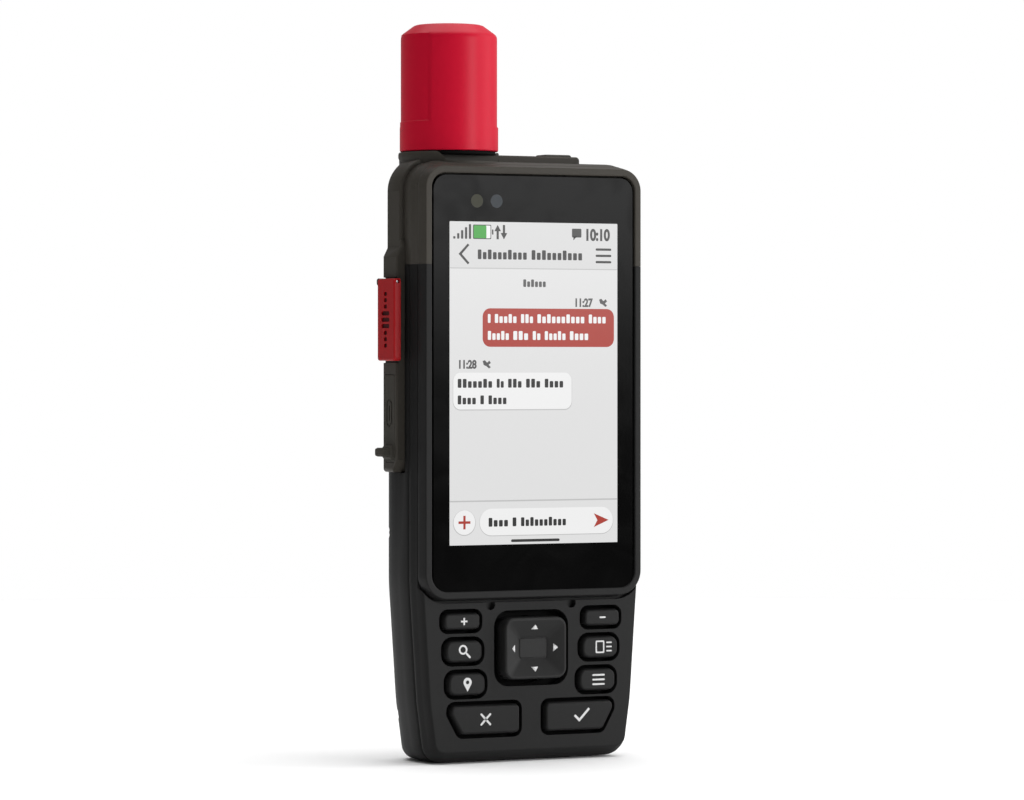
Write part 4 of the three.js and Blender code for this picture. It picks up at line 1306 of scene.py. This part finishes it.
@dataclass
class Antenna:
    """The red radome and the dark ring that it stands on."""

    x: float = -15.2
    depth: float = 14.0
    radius: float = 11.56
    band: float = 0.27
    low: float = 144.6
    band_top: float = 150.4
    top: float = 174.8
    recess: float = 0.17
    recess_heights: Point2 = (151.6, 172.2)
    recess_headings: Point2 = (141, 219)
    band_turn: float = 60
    band_span: float = 220
    band_ramp: float = 30
    wall_radius: float = 11

    def profile(self) -> list[Point2]:
        """Give the radome's outer and inner profile, from the outside top to the inside top."""
        rim = [(7.0, self.top - 0.03), (7.7, self.top - 0.1), (8.3, self.top - 0.3), (8.75, self.top - 0.62)]
        shoulder = [(10.85, 172.65), (11.25, 172.3), (11.46, 171.95), (11.54, 171.55)]
        outside = [(0.0, self.top), (4.0, self.top - 0.01), *rim, *shoulder, (self.radius, 171.0),
                   (self.radius, 170.8),
                   (self.radius, 151.7), (self.radius, 151.5), (self.radius, self.band_top + 0.12),
                   (self.radius, self.band_top - 0.12), (self.radius, self.low + 0.2),
                   (self.radius - 0.2, self.low)]
        inside = [(9.9, self.low), (9.8, 171.0), (7.0, 172.6), (0.0, 172.7)]
        return outside + inside

    def build(self) -> None:
        """Make and dress the radome and its ring."""
        cap = lathe("radome", self.profile(), self.x, self.depth, "z", 180)
        centre = row(self.x, self.depth, 0)
        for vert in cap.data.vertices:
            height = vert.co.z / MM
            out = Vector((vert.co.x - centre.x, vert.co.y - centre.y, 0))
            heading = math.degrees(math.atan2(out.y, out.x)) % 360
            if out.length < self.wall_radius * MM:
                continue
            # a shallow recess runs up the left side, and a band stands proud round the right and the back
            (low, high), (first, last) = self.recess_heights, self.recess_headings
            if low < height < high and first < heading < last:
                vert.co -= out.normalized() * self.recess * MM
            if height < self.band_top:
                turned = (heading + self.band_turn) % 360
                share = min(1.0, turned / self.band_ramp,
                            max(0.0, (self.band_span - turned) / self.band_ramp))
                vert.co += out.normalized() * self.band * share * MM
        dress(cap, Finish.RADOME, "case", "red_radome", "antenna_cap", sharp_degrees=40)
        ring = lathe("radome_ring",
                     [(0, 143.7), (11.0, 143.7), (11.15, 143.9), (11.15, 144.4), (11.0, 144.55),
                      (0, 144.55)], self.x, self.depth, "z", 96)
        dress(ring, Finish.SEAL, "case", "seal", "antenna_base_ring")


@dataclass
class Controls:
    """The power key, the distress key's cover and button, and the USB cap."""

    def power_key(self) -> None:
        """Make the power key."""
        stations = [(11.7, 0.3), (12.0, 0.0), (16.2, 0.0), (16.5, 0.3)]
        key = skin("power_button", front_loops(box_corners(9.8, 17.4, 136.6, 144.45, 0.7), stations, steps=5))
        dress(key, Finish.WARM_KEY, "power_key", "warm_grey_key", "power_key")

    def distress_marks(self, name: str, outer: float, inner: float) -> list[bpy.types.Object]:
        """Give solids of three dots, three dashes and three dots, in groups down the cover.

        Args:
            name: their name.
            outer: x where they start.
            inner: x where they end.

        Returns:
            Nine solids.
        """
        marks = []
        for group, height in enumerate((109.1, 104.5, 99.9)):
            reach = 2.0 if group == 1 else 0.8
            for offset in (-1.5, 0, 1.5):
                z = height + offset
                shape = box_corners(10.6 - reach, 10.6 + reach, z - 0.5, z + 0.5, 0.4)
                marks.append(skin(name, side_loops(shape, [(outer, 0), (inner, 0)], steps=4)))
        return marks

    def distress_cover(self) -> None:
        """Make the red cover with its engraved marks, dark red painted shade laid in the marks, and the
        button under it.
        """
        stations = [(-32.2, 0.0), (-33.64, 0.0), (-33.84, 0.06), (-33.97, 0.2), (-34.0, 0.4)]
        cover = skin("distress_cover",
                     side_loops(box_corners(6.2, 14.7, 94.8, 114.2, 0.75), stations, steps=6))
        lip = skin("lip", side_loops(box_corners(9.1, 13.4, 98.8, 109.6, 1.5), [(-32.4, 0), (-31.5, 0)]))
        combine(cover, Join.ADD, lip)
        combine(cover, Join.CUT, *self.distress_marks("cutter", -36, -33.6), hinge_bore(20))
        dress(cover, Finish.COVER, "sos_cover", "red_cover", "sos_cover")
        # dark red solids laid in the engraved marks: painted shade for their recesses
        shade_marks = self.distress_marks("distress_mark", -33.72, -33.5)
        for i, shade_mark in enumerate(shade_marks, start=1):
            shade_mark.name = f"distress_mark_{i}"
            dress(shade_mark, Finish.PAINTED_ENGRAVING_SHADE, "sos_cover", "red_cover")
        button = lathe("distress_button", [(0, -31), (1.9, -31), (2.35, -30.9), (2.6, -30.6), (2.6, -29.85),
                                           (1.3, -29.85), (1.3, -28.6), (0, -28.6)], 11.2, 104.5, "x", 48)
        dress(button, Finish.COVER, "sos_button", "red_cover", "sos_button")

    def usb_cap(self) -> None:
        """Make the rubber cap with its pull tab and engraved port sign."""
        stations = [(-31.4, 0.0), (-32.32, 0.0), (-32.4, 0.03), (-32.44, 0.1)]
        cap = skin("usb_weather_cap", side_loops(box_corners(8.86, 14.14, 70.9, 91.5, 0.7), stations))
        plug = skin("plug", side_loops(box_corners(10, 13.8, 76.4, 87.6, 1.4), [(-31.6, 0), (-30.7, 0)]))
        foot = skin("foot", side_loops(box_corners(9.1, 13.9, 71.5, 74.9, 0.9),
                                       [(-32.2, 0), (-33.0, 0.1), (-33.4, 0.5)]))
        tab = skin("tab", side_loops(box_corners(9.5, 13.5, 72.2, 74.3, 0.7),
                                     [(-32.4, 0), (-34.9, 0.0), (-35.35, 0.2), (-35.5, 0.5)]))
        combine(cap, Join.ADD, plug, foot, tab)
        ring = skin("sign",
                    side_loops(box_corners(10.1, 13.0, 79.2, 85.8, 1.4), [(-34, 0), (-32.2, 0)], steps=8))
        core = skin("core", side_loops(box_corners(10.65, 12.45, 79.75, 85.25, 0.88), [(-34, 0), (-32.0, 0)],
                                       steps=8))
        combine(ring, Join.CUT, core)
        tongue = skin("tongue",
                      side_loops(box_corners(11.3, 11.8, 80.7, 84.3, 0.2), [(-34, 0), (-32.2, 0)], steps=3))
        combine(cap, Join.CUT, ring, tongue)
        dress(cap, Finish.RUBBER, "usb_cap", "warm_grey_rubber", "usb_cap")

    def build(self) -> None:
        """Make the controls."""
        self.power_key()
        self.distress_cover()
        self.usb_cap()


@dataclass
class BackFittings:
    """The spine rail, its screws, the case screws, the lanyard bar and the flashlight lens."""

    shape: CaseShape

    def screw(self, name: str, x: float, z: float, profile: list[Point2], face: float, node: str) -> None:
        """Make a screw with a six-lobed recess.

        Args:
            name: the piece's name.
            x: its place across.
            z: its height.
            profile: (radius, depth) of the screw from its tip to its head.
            face: depth of the head's face.
            node: the CAD node it stands for.
        """
        body = lathe(name, profile, x, z, "y", 32)
        lobes = [(x + (0.78 + 0.16 * math.cos(6 * a)) * math.cos(a),
                  z + (0.78 + 0.16 * math.cos(6 * a)) * math.sin(a))
                 for a in (2 * math.pi * i / 48 for i in range(48))]
        combine(body, Join.CUT, plate("recess", [lobes], face - 0.8, face + 1))
        dress(body, Finish.BLACK_STEEL, "case", "steel", node)

    def build(self) -> None:
        """Make and dress the fittings on the back."""
        base = skin("spine_rail", front_loops(box_corners(-11, 11, 62, 110, 3),
                                              [(27.6, 0), (28.5, 0), (28.8, 0.12), (28.9, 0.35)]))
        head = skin("head", front_loops(box_corners(-9.5, 9.5, 64, 108, 2.5),
                                        [(28.6, 2.0), (29.8, 2.0), (29.85, 0.3), (30.0, 0.0), (31.1, 0.0),
                                         (31.4, 0.12), (31.5, 0.4)]))
        combine(base, Join.ADD, head)
        for z in (101, 71):
            combine(base, Join.CUT,
                    lathe("room", [(0, 30), (2.35, 30), (2.35, 31.2), (2.7, 31.6), (0, 31.6)], 0, z, "y",
                          36))
        dress(base, Finish.CHARCOAL_CASE, "case", "charcoal_case", "spine_mount")
        for node, z in (("spine_screw_upper", 101), ("spine_screw_lower", 71)):
            self.screw(f"{node}_head", 0, z,
                       [(0, 25.6), (0.8, 25.6), (0.8, 30.1), (2, 30.1), (2, 30.9), (1.7, 31.25),
                        (0, 31.3)], 31.3, node)
        for i, (x, z) in enumerate(self.shape.screws, start=1):
            self.screw(f"case_screw_{i}_head", x, z,
                       [(0, 2.8), (0.9, 2.8), (0.9, 17.4), (1.7, 17.4), (1.7, 18.0),
                        (1.5, 18.2), (0, 18.25)], 18.25, f"case_screw_{i}")
        bar_piece = lathe("lanyard_pin",
                          [(0, -10.2), (0.8, -10.2), (1, -10), (1, 10), (0.8, 10.2), (0, 10.2)],
                          22.6, 9.75, "x", 36)
        dress(bar_piece, Finish.STEEL, "case", "steel", "lanyard_bar")
        lens = lathe("flashlight_window",
                     [(0, 21), (2.9, 21), (3, 24.6), (2.8, 24.95), (1.6, 25.1), (0, 25.15)],
                     0, 127, "y", 40)
        dress(lens, Finish.LENS, "case", "lens", "flashlight_lens")


INNER_FINISHES: dict[str, Finish] = {
    "display_gasket": Finish.SEAL, "display_module": Finish.SCREEN_BODY, "keypad_mat": Finish.SEAL,
    "key_board": Finish.SEAL, "microphone_left": Finish.STEEL, "microphone_right": Finish.STEEL,
    "main_board": Finish.BOARD, "battery_pack": Finish.BATTERY, "speaker": Finish.SEAL,
                                     "main_gasket": Finish.SEAL,
    "power_switch": Finish.STEEL, "antenna_core": Finish.FORMER, "antenna_helix": Finish.COPPER,
    "sos_hinge_pin": Finish.STEEL, "sos_switch": Finish.STEEL, "usb_receptacle": Finish.STEEL,
    "dpad_ring": Finish.SEAL,
}


def dress_inner_nodes() -> None:
    """Give the CAD nodes that stay their real finishes."""
    for node, finish in INNER_FINISHES.items():
        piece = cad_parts[node]
        piece.data.materials.clear()
        piece.data.materials.append(material_of(finish))


# ---------------------------------------------------------------- stage


@dataclass
class Studio:
    """The camera, a plain pale floor and soft lights."""

    lens_mm: float = 163.41
    eye: tuple[float, float, float] = (-0.5431, -0.9730, 0.0944)
    heading: float = 29.239
    shift_up: float = -0.0366

    def camera(self) -> None:
        """Set the camera, level, at the object's left front."""
        data = bpy.data.cameras.new("camera")
        data.lens = self.lens_mm
        data.sensor_width = 36.0
        data.shift_y = self.shift_up
        data.clip_start, data.clip_end = 0.01, 50.0
        camera = bpy.data.objects.new("camera", data)
        camera.location = self.eye
        camera.rotation_euler = (math.pi / 2, 0, -math.radians(self.heading))
        bpy.context.scene.collection.objects.link(camera)
        bpy.context.scene.camera = camera

    def lamp(self, name: str, place: Vector, target: Vector, size: Point2, power: float) -> None:
        """Hang one soft area light.

        Args:
            name: its name.
            place: where it hangs, in metres.
            target: what it points at.
            size: its width and height in metres.
            power: its power in watts.
        """
        data = bpy.data.lights.new(name, "AREA")
        data.shape = "RECTANGLE"
        data.size, data.size_y = size
        data.energy = power
        light = bpy.data.objects.new(name, data)
        light.location = place
        light.rotation_euler = (target - place).to_track_quat("-Z", "Y").to_euler()
        bpy.context.scene.collection.objects.link(light)

    def floor(self) -> None:
        """Lay the pale floor under the object."""
        mesh = bmesh.new()
        bmesh.ops.create_circle(mesh, cap_ends=True, segments=96, radius=0.75)
        data = bpy.data.meshes.new("floor")
        mesh.to_mesh(data)
        mesh.free()
        floor = link("floor", data)
        floor.location.z = -0.0002
        material = bpy.data.materials.new("painted_floor_white")
        material.use_nodes = True
        shader = material.node_tree.nodes["Principled BSDF"]
        shader.inputs["Base Color"].default_value = linear("fbfbfb")
        shader.inputs["Roughness"].default_value = 0.9
        data.materials.append(material)

    def surroundings(self) -> None:
        """Surround the scene with soft grey light, dimmer on the left, which the camera sees as white."""
        world = bpy.data.worlds.new("studio")
        world.use_nodes = True
        tree = world.node_tree
        tree.nodes.clear()
        seen = add_node(tree, "ShaderNodeLightPath").outputs["Is Camera Ray"]
        ways = add_node(tree, "ShaderNodeTexCoord").outputs["Generated"]
        across = add_node(tree, "ShaderNodeSeparateXYZ", {}, {0: ways}).outputs[0]
        side = add_node(tree, "ShaderNodeMapRange", {"From Min": -1.0, "To Min": 0.14, "To Max": 0.5},
                        {"Value": across})
        strength = add_node(tree, "ShaderNodeMapRange", {"To Max": 1.0},
                            {"Value": seen, "To Min": side.outputs[0]})
        white = add_node(tree, "ShaderNodeBackground", {"Color": linear("ffffff")},
                         {"Strength": strength.outputs[0]})
        add_node(tree, "ShaderNodeOutputWorld", {}, {"Surface": white.outputs[0]})
        bpy.context.scene.world = world

    def overhead(self) -> None:
        """Hang a broad even light over the floor, so that the floor stays white and the shadow soft."""
        data = bpy.data.lights.new("overhead", "SUN")
        data.energy = 2.5
        data.angle = math.radians(70)
        light = bpy.data.objects.new("overhead", data)
        light.rotation_euler = (math.radians(-8), math.radians(6), 0)
        bpy.context.scene.collection.objects.link(light)

    def build(self) -> None:
        """Set up the camera, floor, surroundings and lights."""
        self.camera()
        self.floor()
        self.surroundings()
        self.overhead()
        bpy.context.scene.view_settings.view_transform = "Standard"
        middle = Vector((0, 0, 0.1))
        self.lamp("right_softbox", Vector((0.94, -0.33, 0.45)), middle, (0.7, 1.0), 5.0)
        self.lamp("front_softbox", Vector((0.635, -1.134, 0.25)), Vector((0, 0, 0.12)), (0.38, 0.24), 6.2)


# ---------------------------------------------------------------- main


def main() -> None:
    """Build every sub-assembly in order."""
    logging.basicConfig(level=logging.INFO, format="%(message)s")
    Studio().build()
    shape = CaseShape()
    keypad = Keypad()
    front = FrontHousing(shape)
    front.build(keypad.wells())
    TopHousing(shape, front).build()
    RearShell(shape).build()
    SideRail(shape).build()
    GlassFront().build()
    Screen().build()
    keypad.build()
    Antenna().build()
    Controls().build()
    BackFittings(shape).build()
    dress_inner_nodes()


if __name__ == "__main__":
    main()
